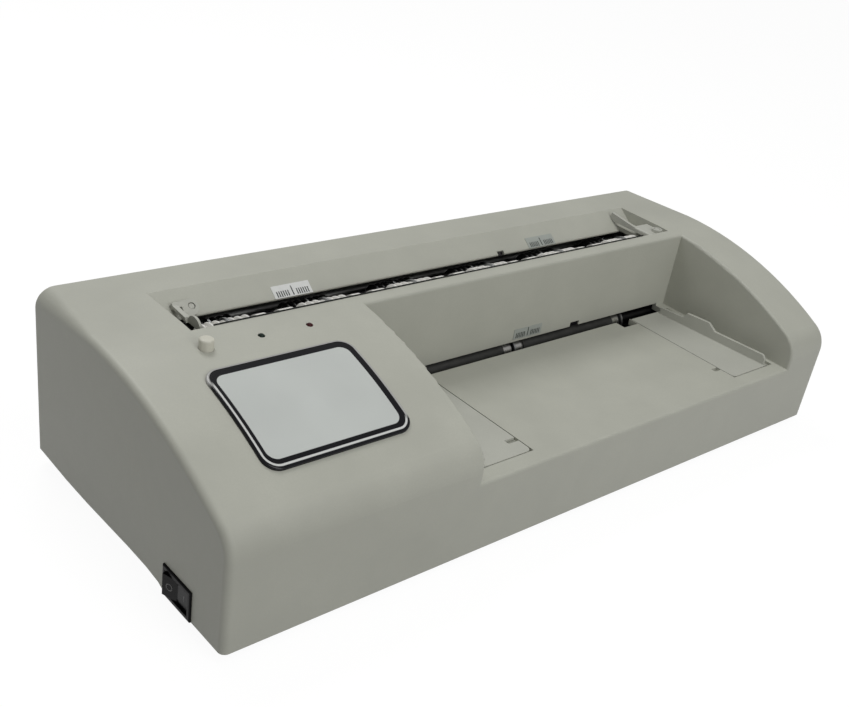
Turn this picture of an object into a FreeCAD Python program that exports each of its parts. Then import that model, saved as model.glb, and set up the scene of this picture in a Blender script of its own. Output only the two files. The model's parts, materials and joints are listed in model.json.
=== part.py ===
import FreeCAD, Part
import math
import os
from FreeCAD import Vector

os.makedirs("parts", exist_ok=True)

# An electric business card cutter for the desk. A sheet dropped into the trough on top is slit
# into strips, and a strip laid on the table in front is slit into cards. X runs along the case,
# Y to the rear and Z up. The origin is the middle of the case, on the plane its feet stand on.
# Heights called "up" count from the case's bottom edge.

# --- Case ---
case_length = 400.0
case_depth = 160.0
case_height = 84.0
case_wall = 2.5
slope_radius = 215.0
slope_start = 32.0
nose_radius = 15.0
side_round = 3.2
side_round_rear = 9.0
rear_round = 0.8
bay_round = 1.5
foot_height = 5.0
foot_radius = 9.0
foot_inset_x = 22.0
foot_inset_y = 20.0
rim_lift = 1.5
rim_start = -36.0
rim_peak_y = -17.0
rim_peak = 3.2
rim_rear = 2.8
rim_depth = 1.7
boss_size = 12.0
boss_height = 10.0
base_thickness = 1.5
base_play = 0.3

# --- Feeding table in front ---
bay_left = -72.0
bay_right = 167.0
bay_back = 12.8
table_drop = 46.0
table_thickness = 3.5
table_depth = 86.5
feed_gap = 1.5
feed_slot_margin_left = 4.0
feed_slot_margin_right = 7.0
lower_channel = 210.0
lower_channel_centre = 48.5
card_cut_centre = 38.0
plate_overlap = 25.0
guide_plate_width = 32.0
guide_plate_length = 76.2
guide_plate_thickness = 1.5
guide_flare = 4.5
fence_thickness = 1.8
seam = 0.55
lower_guide_travel = 3.0
notch_width = 12.0
notch_depth = 6.5

# --- Trough on top ---
trough_left = -159.0
trough_right = 162.5
trough_front = 20.0
trough_depth = 10.0
trough_lip = 46.15
trough_lip_round = 0.8
trough_rear_high = 58.0
trough_edge_round = 0.4
slot_left = -158.0
slot_right = 150.5
ledge_depth = 6.5
sheet_edge = 148.5
left_guide_face = -139.3
left_guide_travel = 3.0
right_guide_travel = 4.0

# --- Shafts and gears ---
gear_module = 1.0
pressure_angle = 25.0
gear_width = 5.0
tooth_play = 0.12
lower_pair_teeth = 14
upper_pair_teeth = 16
transfer_large_teeth = 36
transfer_small_teeth = 18
drive_gear_teeth = 28
pinion_teeth = 14
lower_nip_y = 21.4
lower_tilt = 22.0
upper_tilt = 24.0
transfer_lean = 14.2
journal_radius = 4.0
running_play = 0.03
side_play = 0.3
frame_gap = 340.0
frame_thickness = 2.5
bush_radius = 5.5
bush_flange_radius = 6.5
bush_flange = 1.5

# --- Knives and rollers ---
strip_width = 54.0
strips = 5
card_width = 90.0
cards = 2
knife_thickness = 1.0
knife_side_gap = 0.05
knife_bite = 0.45
nip_gap = 0.3
ribs = 7
rib_pitch = 3.8
rib_depth = 2.2
upper_collar_radius = 7.0
short_collar_clear = 16.2
short_collar_length = 5.2
long_collar_clear = 17.8
long_collar_length = 7.5
lower_collar_radius = 6.0
lower_collar_length = 6.5
lower_collar_gap = 2.4
roller_overhang = 12.0

# --- Chutes ---
chute_sheet = 1.0
chute_turn_radius = 13.0
chute_run = 8.0
chute_half_gap_out = 2.0
chute_half_gap_in = 2.5
card_chute_drop = 1.5
card_chute_start = 11.0
card_chute_left = -80.0
exit_margin = 1.6

# --- Motor ---
gearbox_radius = 18.5
gearbox_length = 24.0
motor_radius = 17.5
motor_length = 34.0
output_offset = 7.0
output_radius = 3.0
output_depth = 18.0
motor_screw_circle = 15.0

# --- Screws ---
screw_radius = 1.5
screw_head_radius = 2.75
screw_head = 2.0
hole_play = 0.2

# --- Controls ---
button_x = -160.0
button_y = 6.0
button_radius = 3.2
button_top_up = 87.0
button_travel = 1.2
led_radius = 1.5
green_led_x = -133.0
red_led_x = -108.0
led_y = 6.2
badge_left = -171.8
badge_right = -98.5
badge_rear = -8.2
badge_front = -60.7
badge_corner = 7.5
badge_thickness = 1.2
badge_edge = 0.8
switch_length = 21.5
switch_height = 15.0
switch_inset = 33.7
bezel_out = 1.0
inlet_x = -140.0
inlet_up = 17.0

# --- Derived places ---
case_bottom = foot_height
case_top = case_bottom + case_height
half_length = case_length / 2
front_y = -case_depth / 2
rear_y = case_depth / 2
switch_y = front_y + switch_inset
base_top = case_bottom + base_thickness
table_top = case_top - table_drop
table_rear = front_y + table_depth
table_under = table_top - table_thickness
slope_centre = case_top - slope_radius
nose_y = front_y + nose_radius
nose_z = slope_centre + math.sqrt((slope_radius - nose_radius) ** 2 - (nose_y - slope_start) ** 2)
slope_end_angle = math.atan2(nose_z - slope_centre, nose_y - slope_start)
trough_floor = case_top - trough_depth
ledge_top = case_top - ledge_depth
plate_inner = frame_gap / 2
plate_outer = plate_inner + frame_thickness
bush_outer = plate_outer + bush_flange


def heading(angle):
    """Unit (Y, Z) pair for an angle in degrees from +Y towards +Z."""
    return math.cos(math.radians(angle)), math.sin(math.radians(angle))


def moved(point, angle, distance):
    """The (Y, Z) point at a distance from another, along an angle in degrees."""
    y, z = heading(angle)
    return point[0] + distance * y, point[1] + distance * z


def middle(one, other):
    return (one[0] + other[0]) / 2, (one[1] + other[1]) / 2


# Shaft centres as (Y, Z). Each nip lies halfway between the two shafts of its pair.
lower_reach = gear_module * lower_pair_teeth / 2
upper_reach = gear_module * upper_pair_teeth / 2
transfer_reach = gear_module * (transfer_large_teeth + transfer_small_teeth) / 2
drive_reach = gear_module * (drive_gear_teeth + pinion_teeth) / 2
lower_nip = (lower_nip_y, table_top)
lower_top_centre = moved(lower_nip, 90 - lower_tilt, lower_reach)
lower_bottom_centre = moved(lower_nip, 270 - lower_tilt, lower_reach)
upper_front_centre = moved(lower_top_centre, 90 - transfer_lean, transfer_reach)
upper_rear_centre = moved(upper_front_centre, -upper_tilt, 2 * upper_reach)
upper_nip = middle(upper_front_centre, upper_rear_centre)
pinion_centre = moved(lower_bottom_centre, 180, drive_reach)
motor_centre = moved(pinion_centre, 180, output_offset)
lower_knife_radius = lower_reach + knife_bite
upper_knife_radius = upper_reach + knife_bite
lower_roller_radius = lower_reach - nip_gap / 2
upper_wheel_radius = upper_reach - nip_gap / 2
gear_start = bush_outer + side_play
gear_end = gear_start + gear_width
drive_start = gear_end + 1.0
drive_end = drive_start + gear_width
wheel_group = ribs * rib_pitch
strip_knives = [strip_width * (k - strips / 2) for k in range(strips + 1)]
card_knives = [card_cut_centre + card_width * (k - cards / 2) for k in range(cards + 1)]


# --- Shape helpers ---

def box(x0, x1, y0, y1, z0, z1):
    return Part.makeBox(x1 - x0, y1 - y0, z1 - z0, Vector(x0, y0, z0))


def rod(centre, x0, x1, radius):
    """A round bar along X about a (Y, Z) centre."""
    return Part.makeCylinder(radius, x1 - x0, Vector(x0, centre[0], centre[1]), Vector(1, 0, 0))


def post(x, y, z0, z1, radius):
    return Part.makeCylinder(radius, z1 - z0, Vector(x, y, z0))


def prism(points, x0, x1):
    """A closed (Y, Z) outline of straight sides, carried along X."""
    corners = [Vector(x0, y, z) for y, z in points]
    face = Part.Face(Part.makePolygon(corners + corners[:1]))
    return face.extrude(Vector(x1 - x0, 0, 0))


def plan(points, z0, z1):
    """A closed (X, Y) outline of straight sides, carried up Z."""
    corners = [Vector(x, y, z0) for x, y in points]
    face = Part.Face(Part.makePolygon(corners + corners[:1]))
    return face.extrude(Vector(0, 0, z1 - z0))


def hexagon(x, y, z0, z1, across, bore):
    """A nut standing on Z, with its flats facing Y."""
    corner = across / math.sqrt(3)
    points = [(x + corner * math.cos(math.radians(a)), y + corner * math.sin(math.radians(a)))
              for a in range(0, 360, 60)]
    return plan(points, z0, z1).cut(post(x, y, z0 - 1, z1 + 1, bore))


def joined(shapes):
    whole = shapes[0]
    for shape in shapes[1:]:
        whole = whole.fuse(shape)
    return whole.removeSplitter()


def without(shape, tools):
    return shape.cut(Part.makeCompound(tools))


def spread(*shapes):
    """Separate solids that share one node."""
    return Part.makeCompound(list(shapes))


def wire_prism(edges, x0, x1):
    """A closed outline of mixed edges in the YZ plane at X = 0, carried along X."""
    face = Part.Face(Part.Wire(edges))
    face.translate(Vector(x0, 0, 0))
    return face.extrude(Vector(x1 - x0, 0, 0))


def line(one, other):
    return Part.makeLine(Vector(0, one[0], one[1]), Vector(0, other[0], other[1]))


def arc(centre, radius, start, end):
    """An arc in the YZ plane between two angles in degrees."""
    points = [moved(centre, a, radius) for a in (start, (start + end) / 2, end)]
    return Part.Arc(*[Vector(0, y, z) for y, z in points]).toShape()


# --- Case ---

def case_outline(inset, bottom):
    """Edges of the case's side profile, set inwards by a distance."""
    slope = (slope_start, slope_centre)
    nose = (nose_y, nose_z)
    end = math.degrees(slope_end_angle)
    rear_corner = (rear_y - inset, case_top - inset)
    crown = (slope_start, case_top - inset)
    front_low = (front_y + inset, bottom)
    rear_low = (rear_y - inset, bottom)
    return [
        line(rear_corner, crown),
        arc(slope, slope_radius - inset, 90, end),
        arc(nose, nose_radius - inset, end, 180),
        line((front_y + inset, nose_z), front_low),
        line(front_low, rear_low),
        line(rear_low, rear_corner),
    ]


def round_section(inset, side, y, radius):
    """What a round of a radius takes off the corner between a side and the flat top, in the plane of a Y."""
    x = side * (half_length - inset)
    z = case_top - inset
    over = 1.0
    foot = Vector(x, y, z - radius)
    crest = Vector(x - side * radius, y, z)
    lean = radius * (1 - math.sqrt(0.5))
    middle_point = Vector(x - side * lean, y, z - lean)
    outside = [foot, Vector(x + side * over, y, z - radius), Vector(x + side * over, y, z + over),
               Vector(x - side * radius, y, z + over), crest]
    sides = [Part.makeLine(a, b) for a, b in zip(outside, outside[1:])]
    return Part.Wire([Part.Arc(crest, middle_point, foot).toShape()] + sides)


def widening_round(inset, side):
    """The side round grows wider towards the rear, along the flat part of the top."""
    start = side_round - inset
    end = side_round_rear - inset
    growth = (end - start) / (rear_y - slope_start)
    over = 1.0
    return Part.makeLoft([round_section(inset, side, slope_start, start),
                          round_section(inset, side, rear_y + over, end + growth * over)], True, True)


def case_blank(inset, bottom):
    half = half_length - inset
    blank = wire_prism(case_outline(inset, bottom), -half, half)
    ends = [e for e in blank.Edges if e.BoundBox.XLength < 0.001 and e.BoundBox.ZMax > bottom + 0.001
            and e.BoundBox.YMin < rear_y - inset - 0.001]
    blank = blank.makeFillet(side_round - inset, ends)
    blank = without(blank, [widening_round(inset, side) for side in (-1, 1)])
    if rear_round <= inset:
        return blank
    rear = [e for e in blank.Edges if e.BoundBox.YMin > rear_y - inset - 0.001 and e.BoundBox.ZMax > bottom + 0.001]
    return blank.makeFillet(rear_round - inset, rear)


def bay_void(grow, under):
    return box(bay_left - grow, bay_right + grow, front_y - 20, bay_back + grow, under, case_top + 20)


lip_centre = (trough_lip + trough_lip_round, trough_floor + trough_lip_round)
lip_reach = math.hypot(trough_rear_high - lip_centre[0], case_top - lip_centre[1])
wall_angle = math.degrees(math.atan2(case_top - lip_centre[1], trough_rear_high - lip_centre[0])
                          - math.asin(trough_lip_round / lip_reach))
wall_run = trough_depth / math.tan(math.radians(wall_angle))
wall_foot = trough_rear_high - wall_run
wall_out = heading(wall_angle + 90)


def on_wall(up, out):
    """A (Y, Z) point of the trough's rear slope: its height over the floor, and how far off the slope."""
    y = wall_foot + up * wall_run / trough_depth
    return y + out * wall_out[0], trough_floor + up + out * wall_out[1]


def trough_void(floor_depth, grow, x0, x1):
    """The trough's hollow down to a floor, grown by a wall on its front, floor and rear.

    Its rear slope starts at a crisp edge and ends in a small round lip over the paper slot.
    """
    floor = case_top - floor_depth - grow
    lid = case_top + 20
    front = trough_front - grow
    half_turn = math.tan(math.radians(wall_angle / 2))
    sides = [line((front, lid), (front, floor))]
    if floor < lip_centre[1] and grow < trough_lip_round:
        under = moved(lip_centre, 270, trough_lip_round)
        foot = moved(lip_centre, wall_angle + 90, trough_lip_round)
        sides += [line((front, floor), under), arc(lip_centre, trough_lip_round, 270, wall_angle + 90)]
    else:
        rise = floor - trough_floor + grow * wall_out[1]
        foot = (on_wall(rise, -grow)[0], floor)
        sides.append(line((front, floor), foot))
    if grow < trough_edge_round:
        edge_centre = (trough_rear_high + trough_edge_round * half_turn, case_top - trough_edge_round)
        touch = moved(edge_centre, wall_angle + 90, trough_edge_round)
        crest = moved(edge_centre, 90, trough_edge_round)
        sides += [line(foot, touch), arc(edge_centre, trough_edge_round, wall_angle + 90, 90)]
    else:
        crest = (trough_rear_high + grow * half_turn, case_top - grow)
        sides.append(line(foot, crest))
    sides += [line(crest, (crest[0], lid)), line((crest[0], lid), (front, lid))]
    return wire_prism(sides, x0, x1)


strip_turn = moved(moved(upper_nip, 270 - upper_tilt, chute_run), -upper_tilt, chute_turn_radius)
strip_exit_low = strip_turn[1] - chute_turn_radius - chute_half_gap_out
strip_exit_high = strip_turn[1] - chute_turn_radius + chute_half_gap_in
card_chute_slope = math.tan(math.radians(lower_tilt))
card_chute_head = moved(moved(lower_nip, -lower_tilt, card_chute_start), 270 - lower_tilt, card_chute_drop)


def card_chute_z(y):
    """Height of the card chute's upper face."""
    return card_chute_head[1] - (y - card_chute_head[0]) * card_chute_slope


card_exit_low = card_chute_z(rear_y) - exit_margin
card_exit_high = card_exit_low + 10.5
board_under = case_top - 19.0
board_top = board_under + 1.6
button_seat = case_top - 7.0
chassis_rear = rear_y - case_wall - base_play
screw_places = [(x, y) for x in (-half_length + 10, half_length - 10) for y in (front_y + 11, rear_y - 11)]
screw_places += [(0.0, front_y + 8.5), (0.0, rear_y - 8.5)]
foot_places = [(sx * (half_length - foot_inset_x), sy * (rear_y - foot_inset_y)) for sx in (-1, 1) for sy in (-1, 1)]
flange_depth = 15.0
plate_rear = rear_y - 8.0
flange_front = 8.0
flange_rear = plate_rear - 2.0
flange_places = [(sx * (plate_inner - 5.0), y) for sx in (-1, 1) for y in (20.0, rear_y - 22.0)]


def wall_hole(y0, y1, z0, z1):
    """A cut through the case's left wall."""
    return box(-half_length - 5, -half_length + case_wall + 5, y0, y1, z0, z1)


# Lower guides: plates let into the table, with fences that face the paper.
right_fence = lower_channel_centre + lower_channel / 2
right_plate_left = right_fence - plate_overlap
right_plate_right = right_plate_left + guide_plate_width
plate_front = table_rear - seam - guide_plate_length
stud_x = right_plate_left + 18.0
stud_places = [plate_front + 20.0, plate_front + 55.0]
recess_depth = guide_plate_thickness + 0.15


def mirrored(shape):
    """The same piece on the other side of the lower channel."""
    return shape.mirror(Vector(lower_channel_centre, 0, 0), Vector(1, 0, 0))


def guide_recess():
    """The pocket in the table for the right guide plate, with a slot for each stud."""
    pocket = box(right_plate_left - seam, right_plate_right + lower_guide_travel + seam,
                 plate_front - seam, table_rear + 1, table_top - recess_depth, table_top + 1)
    slots = []
    for y in stud_places:
        half = screw_radius + hole_play
        slots.append(box(stud_x, stud_x + lower_guide_travel, y - half, y + half, table_under - 1, table_top))
        slots.append(post(stud_x, y, table_under - 1, table_top, half))
        slots.append(post(stud_x + lower_guide_travel, y, table_under - 1, table_top, half))
    return joined([pocket] + slots)


def guide_mark(x0, x1):
    """A short groove beside the seam of a table guide."""
    return box(x0, x1, plate_front + 9, plate_front + 12, table_top - recess_depth, table_top + 1)


left_screw_x = left_guide_face - 3.2
left_screw_up = 3.4
right_screw_x = sheet_edge + 8.5
right_screw_y = trough_front + 4.2
slot_half_width = 1.25 + hole_play


def guide_slots():
    """Slots for the screws that lock the two trough guides."""
    slot_rise = slot_half_width * math.sin(math.radians(wall_angle))
    one = on_wall(left_screw_up - slot_rise, 1)
    two = on_wall(left_screw_up + slot_rise, 1)
    three = on_wall(left_screw_up + slot_rise, -case_wall - 1.5)
    four = on_wall(left_screw_up - slot_rise, -case_wall - 1.5)
    rear = prism([one, two, three, four], left_screw_x - left_guide_travel - slot_half_width,
                 left_screw_x + slot_half_width)
    floor = box(right_screw_x - right_guide_travel - slot_half_width, right_screw_x + slot_half_width,
                right_screw_y - slot_half_width, right_screw_y + slot_half_width,
                ledge_top - case_wall - 1, ledge_top + 1)
    return [rear, floor]


sensor_x = 50.0
lower_sensor_x = 85.0
sensor_width = 5.0
sensor_height = 2.4
lower_sensor_width = 7.2
lower_sensor_height = 2.6


def sensor_notches():
    upper = prism([on_wall(-2, 2), on_wall(sensor_height, 2), on_wall(sensor_height, -case_wall - 2),
                   on_wall(-2, -case_wall - 2)], sensor_x - sensor_width / 2, sensor_x + sensor_width / 2)
    half = lower_sensor_width / 2
    lower = box(lower_sensor_x - half, lower_sensor_x + half, bay_back - 1, bay_back + case_wall + 1,
                table_top, table_top + feed_gap + lower_sensor_height)
    return [upper, lower]


def case_bosses():
    """Screw blocks inside the rim, the button's guide and the two posts for the panel board."""
    blocks = []
    low = base_top
    high = base_top + boss_height
    for x, y in screw_places:
        half = boss_size / 2
        y0 = min(y - half, y) if y > 0 else front_y + case_wall - 0.5
        y1 = rear_y - case_wall + 0.5 if y > 0 else y + half
        x0 = -half_length + case_wall - 0.5 if x < -1 else x - half
        x1 = half_length - case_wall + 0.5 if x > 1 else x + half
        blocks.append(box(x0, x1, y0, y1, low, high))
    blocks.append(post(button_x, button_y, button_seat, case_top - case_wall, button_radius + 2.6))
    for x in panel_screw_x:
        blocks.append(post(x, panel_screw_y, board_top, case_top - case_wall, 3.0))
    return blocks


panel_screw_x = [-147.0, -120.0]
panel_screw_y = led_y


def build_case():
    outer = case_blank(0, case_bottom)
    shell = outer.cut(bay_void(0, table_top))
    side = [e for e in shell.Edges if e.BoundBox.XLength < 0.001 and e.BoundBox.ZMax > table_top + 1
            and bay_left - 0.001 < e.BoundBox.XMin and e.BoundBox.XMax < bay_right + 0.001
            and e.BoundBox.YMin < bay_back - 0.001]
    top = [e for e in shell.Edges if e.BoundBox.XLength > 100 and abs(e.BoundBox.YMin - bay_back) < 0.001
           and e.BoundBox.YLength < 0.001 and e.BoundBox.ZMin > table_top + 10]
    lip = [e for e in shell.Edges if e.BoundBox.XLength > 100 and abs(e.BoundBox.YMin - front_y) < 0.001
           and e.BoundBox.YLength < 0.001 and abs(e.BoundBox.ZMin - table_top) < 0.001]
    shell = shell.makeFillet(bay_round, side + top + lip)

    shell = shell.cut(trough_void(trough_depth, 0, slot_left, slot_right))
    shell = shell.cut(trough_void(ledge_depth, 0, trough_left, trough_right))

    cavity = case_blank(case_wall, case_bottom - 1)
    cavity = cavity.cut(bay_void(case_wall, table_under))
    cavity = cavity.cut(trough_void(trough_depth, case_wall, slot_left, slot_right))
    cavity = cavity.cut(trough_void(ledge_depth, case_wall, trough_left - case_wall, trough_right + case_wall))
    cavity = without(cavity, case_bosses())
    shell = shell.cut(cavity)

    cuts = [box(slot_left, slot_right, trough_front, lip_centre[0] + 24, trough_floor - 9, trough_floor)]
    cuts.append(box(bay_left + feed_slot_margin_left, bay_right - feed_slot_margin_right, table_rear,
                    bay_back + case_wall + 0.5, table_under - 1, table_top + feed_gap))
    cuts.append(box(right_plate_left - notch_width - 1, right_plate_left - 1, table_rear - notch_depth, table_rear + 1,
                    table_under - 1, table_top + 1))
    recess = guide_recess()
    cuts += [recess, mirrored(recess), guide_mark(right_plate_left - 5.5, right_plate_left)]
    cuts += guide_slots()
    cuts += sensor_notches()
    cuts.append(box(-slot_right - 1.5, slot_right + 1.5, rear_y - 10, rear_y + 5,
                    strip_exit_low - exit_margin, strip_exit_high + exit_margin))
    cuts.append(box(card_chute_left + 18, bay_right - 7, rear_y - 6, rear_y + 5, card_exit_low, card_exit_high))
    cuts.append(wall_hole(switch_y - switch_body_length / 2, switch_y + switch_body_length / 2,
                          switch_low, switch_low + switch_body_height))
    cuts.append(box(inlet_x - inlet_width / 2, inlet_x + inlet_width / 2, rear_y - 10, rear_y + 5,
                    inlet_z - inlet_height / 2, inlet_z + inlet_height / 2))
    cuts.append(post(button_x, button_y, board_top, case_top + 5, button_radius + 0.12))
    for x in (green_led_x, red_led_x):
        cuts.append(post(x, led_y, board_top, case_top + 5, led_radius + 0.1))
    for x, y in screw_places:
        cuts.append(post(x, y, base_top - 1, base_top + boss_height - 2, screw_radius))
    for x in panel_screw_x:
        cuts.append(post(x, panel_screw_y, board_top - 1, board_top + 6, screw_radius))
    rim = [(rim_start, 0.0), (rim_start + 5, rim_lift + 0.4), (rim_peak_y, rim_peak), (slope_start, rim_lift),
           (slope_start + 20, rim_lift), (rear_y + 1, rim_rear), (rear_y + 1, -1.0), (rim_start, -1.0)]
    cuts.append(prism([(y, case_bottom + up) for y, up in rim], -half_length - 1, -half_length + rim_depth))
    return without(shell, cuts)


# --- Base, feet and frame ---

def build_base():
    x = half_length - case_wall - base_play
    y = rear_y - case_wall - base_play
    plate = box(-x, x, -y, y, case_bottom, base_top)
    corners = [e for e in plate.Edges if e.BoundBox.ZLength > base_thickness / 2]
    plate = plate.makeFillet(side_round - case_wall, corners)
    holes = [post(px, py, 0, base_top + 1, screw_radius + hole_play) for px, py in screw_places + flange_places]
    holes += [post(px, py, 0, base_top + 1, screw_radius) for px, py in foot_places + transformer_screws]
    holes += [post(px, py, 0, base_top + 1, standoff_pin) for px, py in standoff_places]
    holes.append(box(-half_length, -half_length + switch_depth + 3, switch_y - switch_length / 2 - 1,
                     switch_y + switch_length / 2 + 1, 0, base_top + 1))
    return without(plate, holes)


def build_feet():
    feet = []
    for x, y in foot_places:
        foot = post(x, y, 0, foot_height, foot_radius)
        foot = foot.cut(post(x, y, -1, foot_height / 2, screw_head_radius + 0.5))
        feet.append(foot.cut(post(x, y, -1, foot_height + 1, screw_radius + hole_play)))
    return spread(*feet)


def screw_up(x, y, seat, tip):
    """A pan-head screw driven upwards, its head under the seat."""
    return post(x, y, seat - screw_head, seat, screw_head_radius).fuse(post(x, y, seat, tip, screw_radius))


def build_base_screws():
    screws = [screw_up(x, y, case_bottom, base_top + boss_height - 3) for x, y in screw_places]
    screws += [screw_up(x, y, case_bottom, base_top + frame_thickness) for x, y in flange_places]
    screws += [screw_up(x, y, case_bottom, base_top + 1.5) for x, y in transformer_screws]
    for x, y in foot_places:
        seat = foot_height / 2
        head = post(x, y, seat - 1.5, seat, screw_head_radius)
        screws.append(head.fuse(post(x, y, seat, base_top + 1.5, screw_radius)))
    return spread(*screws)


tie_places = [(rear_y - 14.0, case_top - 24.0), (36.0, case_bottom + 14.0)]
tie_radius = 4.0
shaft_centres = [lower_top_centre, lower_bottom_centre, upper_front_centre, upper_rear_centre]


def motor_screw_places():
    return [moved(motor_centre, a, motor_screw_circle) for a in (90, 210, 330)]


def side_plate(side, front_low, shoulder):
    """A steel side plate with a flange along its foot. Side is -1 for left and 1 for right."""
    outline = [(front_low, base_top), (front_low, shoulder), (upper_front_centre[0] - 14, shoulder),
               (upper_front_centre[0] - 8, upper_front_centre[1] + 8.5), (plate_rear, upper_front_centre[1] + 8.5),
               (plate_rear, base_top)]
    x0, x1 = sorted((side * plate_inner, side * plate_outer))
    plate = prism(outline, x0, x1)
    f0, f1 = sorted((side * (plate_inner - flange_depth), side * plate_inner))
    plate = plate.fuse(box(f0, f1, flange_front, flange_rear, base_top, base_top + frame_thickness))
    plate = plate.removeSplitter()
    holes = [rod(c, x0 - 1, x1 + 1, bush_radius) for c in shaft_centres]
    holes += [rod(c, x0 - 1, x1 + 1, screw_radius + hole_play) for c in tie_places]
    holes += [post(x, y, base_top - 1, base_top + 4, screw_radius) for x, y in flange_places]
    return without(plate, holes)


def build_left_side_plate():
    x0, x1 = -plate_outer, -plate_inner
    plate = side_plate(-1, motor_centre[0] - gearbox_radius - 3, motor_centre[1] + gearbox_radius + 3)
    holes = [rod(pinion_centre, x0 - 1, x1 + 1, output_radius + 2)]
    holes += [rod(c, x0 - 1, x1 + 1, screw_radius + hole_play) for c in motor_screw_places()]
    return without(plate, holes)


def build_right_side_plate():
    return side_plate(1, lower_bottom_centre[0] - 9, lower_bottom_centre[1] + 12)


def build_tie_rods():
    rods = []
    for centre in tie_places:
        bar = rod(centre, -plate_inner, plate_inner, tie_radius)
        ends = [rod(centre, -plate_inner - 1, -plate_inner + 9, screw_radius),
                rod(centre, plate_inner - 9, plate_inner + 1, screw_radius)]
        rods.append(without(bar, ends))
    return spread(*rods)


def screw_in(centre, side, length):
    """A pan-head screw through a side plate, its head outside."""
    head = rod(centre, *sorted((side * plate_outer, side * (plate_outer + screw_head))), screw_head_radius)
    shank = rod(centre, *sorted((side * plate_outer, side * (plate_outer - length))), screw_radius)
    return head.fuse(shank)


def build_frame_screws():
    screws = [screw_in(c, side, 10.0) for c in tie_places for side in (-1, 1)]
    screws += [screw_in(c, -1, 8.0) for c in motor_screw_places()]
    return spread(*screws)


def build_bushes():
    bushes = []
    for centre in shaft_centres:
        for side in (-1, 1):
            body = rod(centre, *sorted((side * plate_inner, side * plate_outer)), bush_radius)
            rim = rod(centre, *sorted((side * plate_outer, side * bush_outer)), bush_flange_radius)
            bore = rod(centre, *sorted((side * (plate_inner - 1), side * (bush_outer + 1))),
                       journal_radius + running_play)
            bushes.append(body.fuse(rim).cut(bore).removeSplitter())
    return spread(*bushes)


# --- Chutes ---

def strip_sheet(radius, edge_radius):
    """A bent sheet from the nip's mouth, round the turn and out to the rear."""
    start = 180 - upper_tilt
    face = strip_turn[1] - radius
    edge = strip_turn[1] - edge_radius
    end = chassis_rear
    return wire_prism([
        arc(strip_turn, radius, start, 270),
        line((strip_turn[0], face), (end, face)),
        line((end, face), (end, edge)),
        line((end, edge), (strip_turn[0], edge)),
        arc(strip_turn, edge_radius, 270, start),
        line(moved(strip_turn, start, edge_radius), moved(strip_turn, start, radius)),
    ], -plate_inner, plate_inner)


def build_strip_chute():
    outer = chute_turn_radius + chute_half_gap_out
    inner = chute_turn_radius - chute_half_gap_in
    return spread(strip_sheet(outer, outer + chute_sheet), strip_sheet(inner, inner - chute_sheet))


def build_card_chute():
    start = card_chute_head[0]
    end = chassis_rear
    fall = chute_sheet / math.cos(math.radians(lower_tilt))
    right = plate_inner - flange_depth - 1
    skin = prism([(start, card_chute_z(start)), (end, card_chute_z(end)), (end, card_chute_z(end) - fall),
                  (start, card_chute_z(start) - fall)], card_chute_left, right)
    foot_front = start + 9
    foot_rear = end - boss_size
    leg = [(foot_front, base_top), (foot_front, card_chute_z(foot_front)), (foot_rear, card_chute_z(foot_rear)),
           (foot_rear, base_top)]
    left_leg = prism(leg, card_chute_left, card_chute_left + chute_sheet)
    right_leg = prism(leg, right - chute_sheet, right)
    ties = [rod(tie_places[1], card_chute_left - 1, right + 1, tie_radius + 0.3)]
    return without(joined([skin, left_leg, right_leg]), ties)


# --- Motor ---

def build_gearbox():
    body = rod(motor_centre, -plate_inner, -plate_inner + gearbox_length, gearbox_radius)
    bore = rod(pinion_centre, -plate_inner - 1, -plate_inner + output_depth, output_radius + running_play)
    screws = [rod(c, -plate_inner - 1, -plate_inner + 8.0 - frame_thickness, screw_radius)
              for c in motor_screw_places()]
    return without(body, [bore] + screws)


def build_motor():
    start = -plate_inner + gearbox_length
    can = rod(motor_centre, start, start + motor_length, motor_radius)
    rear = [e for e in can.Edges if e.BoundBox.XMin > start + motor_length - 0.01]
    can = can.makeFillet(2.0, rear)
    cap = rod(motor_centre, start + motor_length, start + motor_length + 4, motor_radius - 7)
    return joined([can, cap])


def gear(centre, teeth, tooth_angle, x0, x1, bore):
    """An involute spur gear about X, with one tooth centred on an angle in degrees."""
    pitch = gear_module * teeth / 2
    tip = pitch + gear_module
    root = pitch - 1.25 * gear_module
    base = pitch * math.cos(math.radians(pressure_angle))
    lean = math.tan(math.radians(pressure_angle)) - math.radians(pressure_angle)
    half_tooth = math.pi / (2 * teeth) - tooth_play / (2 * pitch) + lean

    def flank(radius):
        """Half the tooth's angle at a radius, in radians."""
        roll = math.acos(base / radius)
        return half_tooth - (math.tan(roll) - roll)

    def place(radius, angle):
        return Vector(0, centre[0] + radius * math.cos(angle), centre[1] + radius * math.sin(angle))

    low = max(base, root)
    mid = (low + tip) / 2
    edges = []
    step = 2 * math.pi / teeth
    for k in range(teeth):
        at = math.radians(tooth_angle) + k * step
        nxt = at + step
        foot = place(root, at - flank(low))
        rise = place(low, at - flank(low))
        head = place(tip, at - flank(tip))
        back = place(tip, at + flank(tip))
        fall = place(low, at + flank(low))
        heel = place(root, at + flank(low))
        if low > root:
            edges.append(Part.makeLine(foot, rise))
        edges.append(Part.Arc(rise, place(mid, at - flank(mid)), head).toShape())
        edges.append(Part.Arc(head, place(tip, at), back).toShape())
        edges.append(Part.Arc(back, place(mid, at + flank(mid)), fall).toShape())
        if low > root:
            edges.append(Part.makeLine(fall, heel))
        edges.append(Part.Arc(heel, place(root, at + step / 2), place(root, nxt - flank(low))).toShape())
    body = wire_prism(edges, x0, x1)
    return body.cut(rod(centre, x0 - 1, x1 + 1, bore))


def direction(one, other):
    """Angle in degrees from one (Y, Z) centre to another."""
    return math.degrees(math.atan2(other[1] - one[1], other[0] - one[0]))


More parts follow.
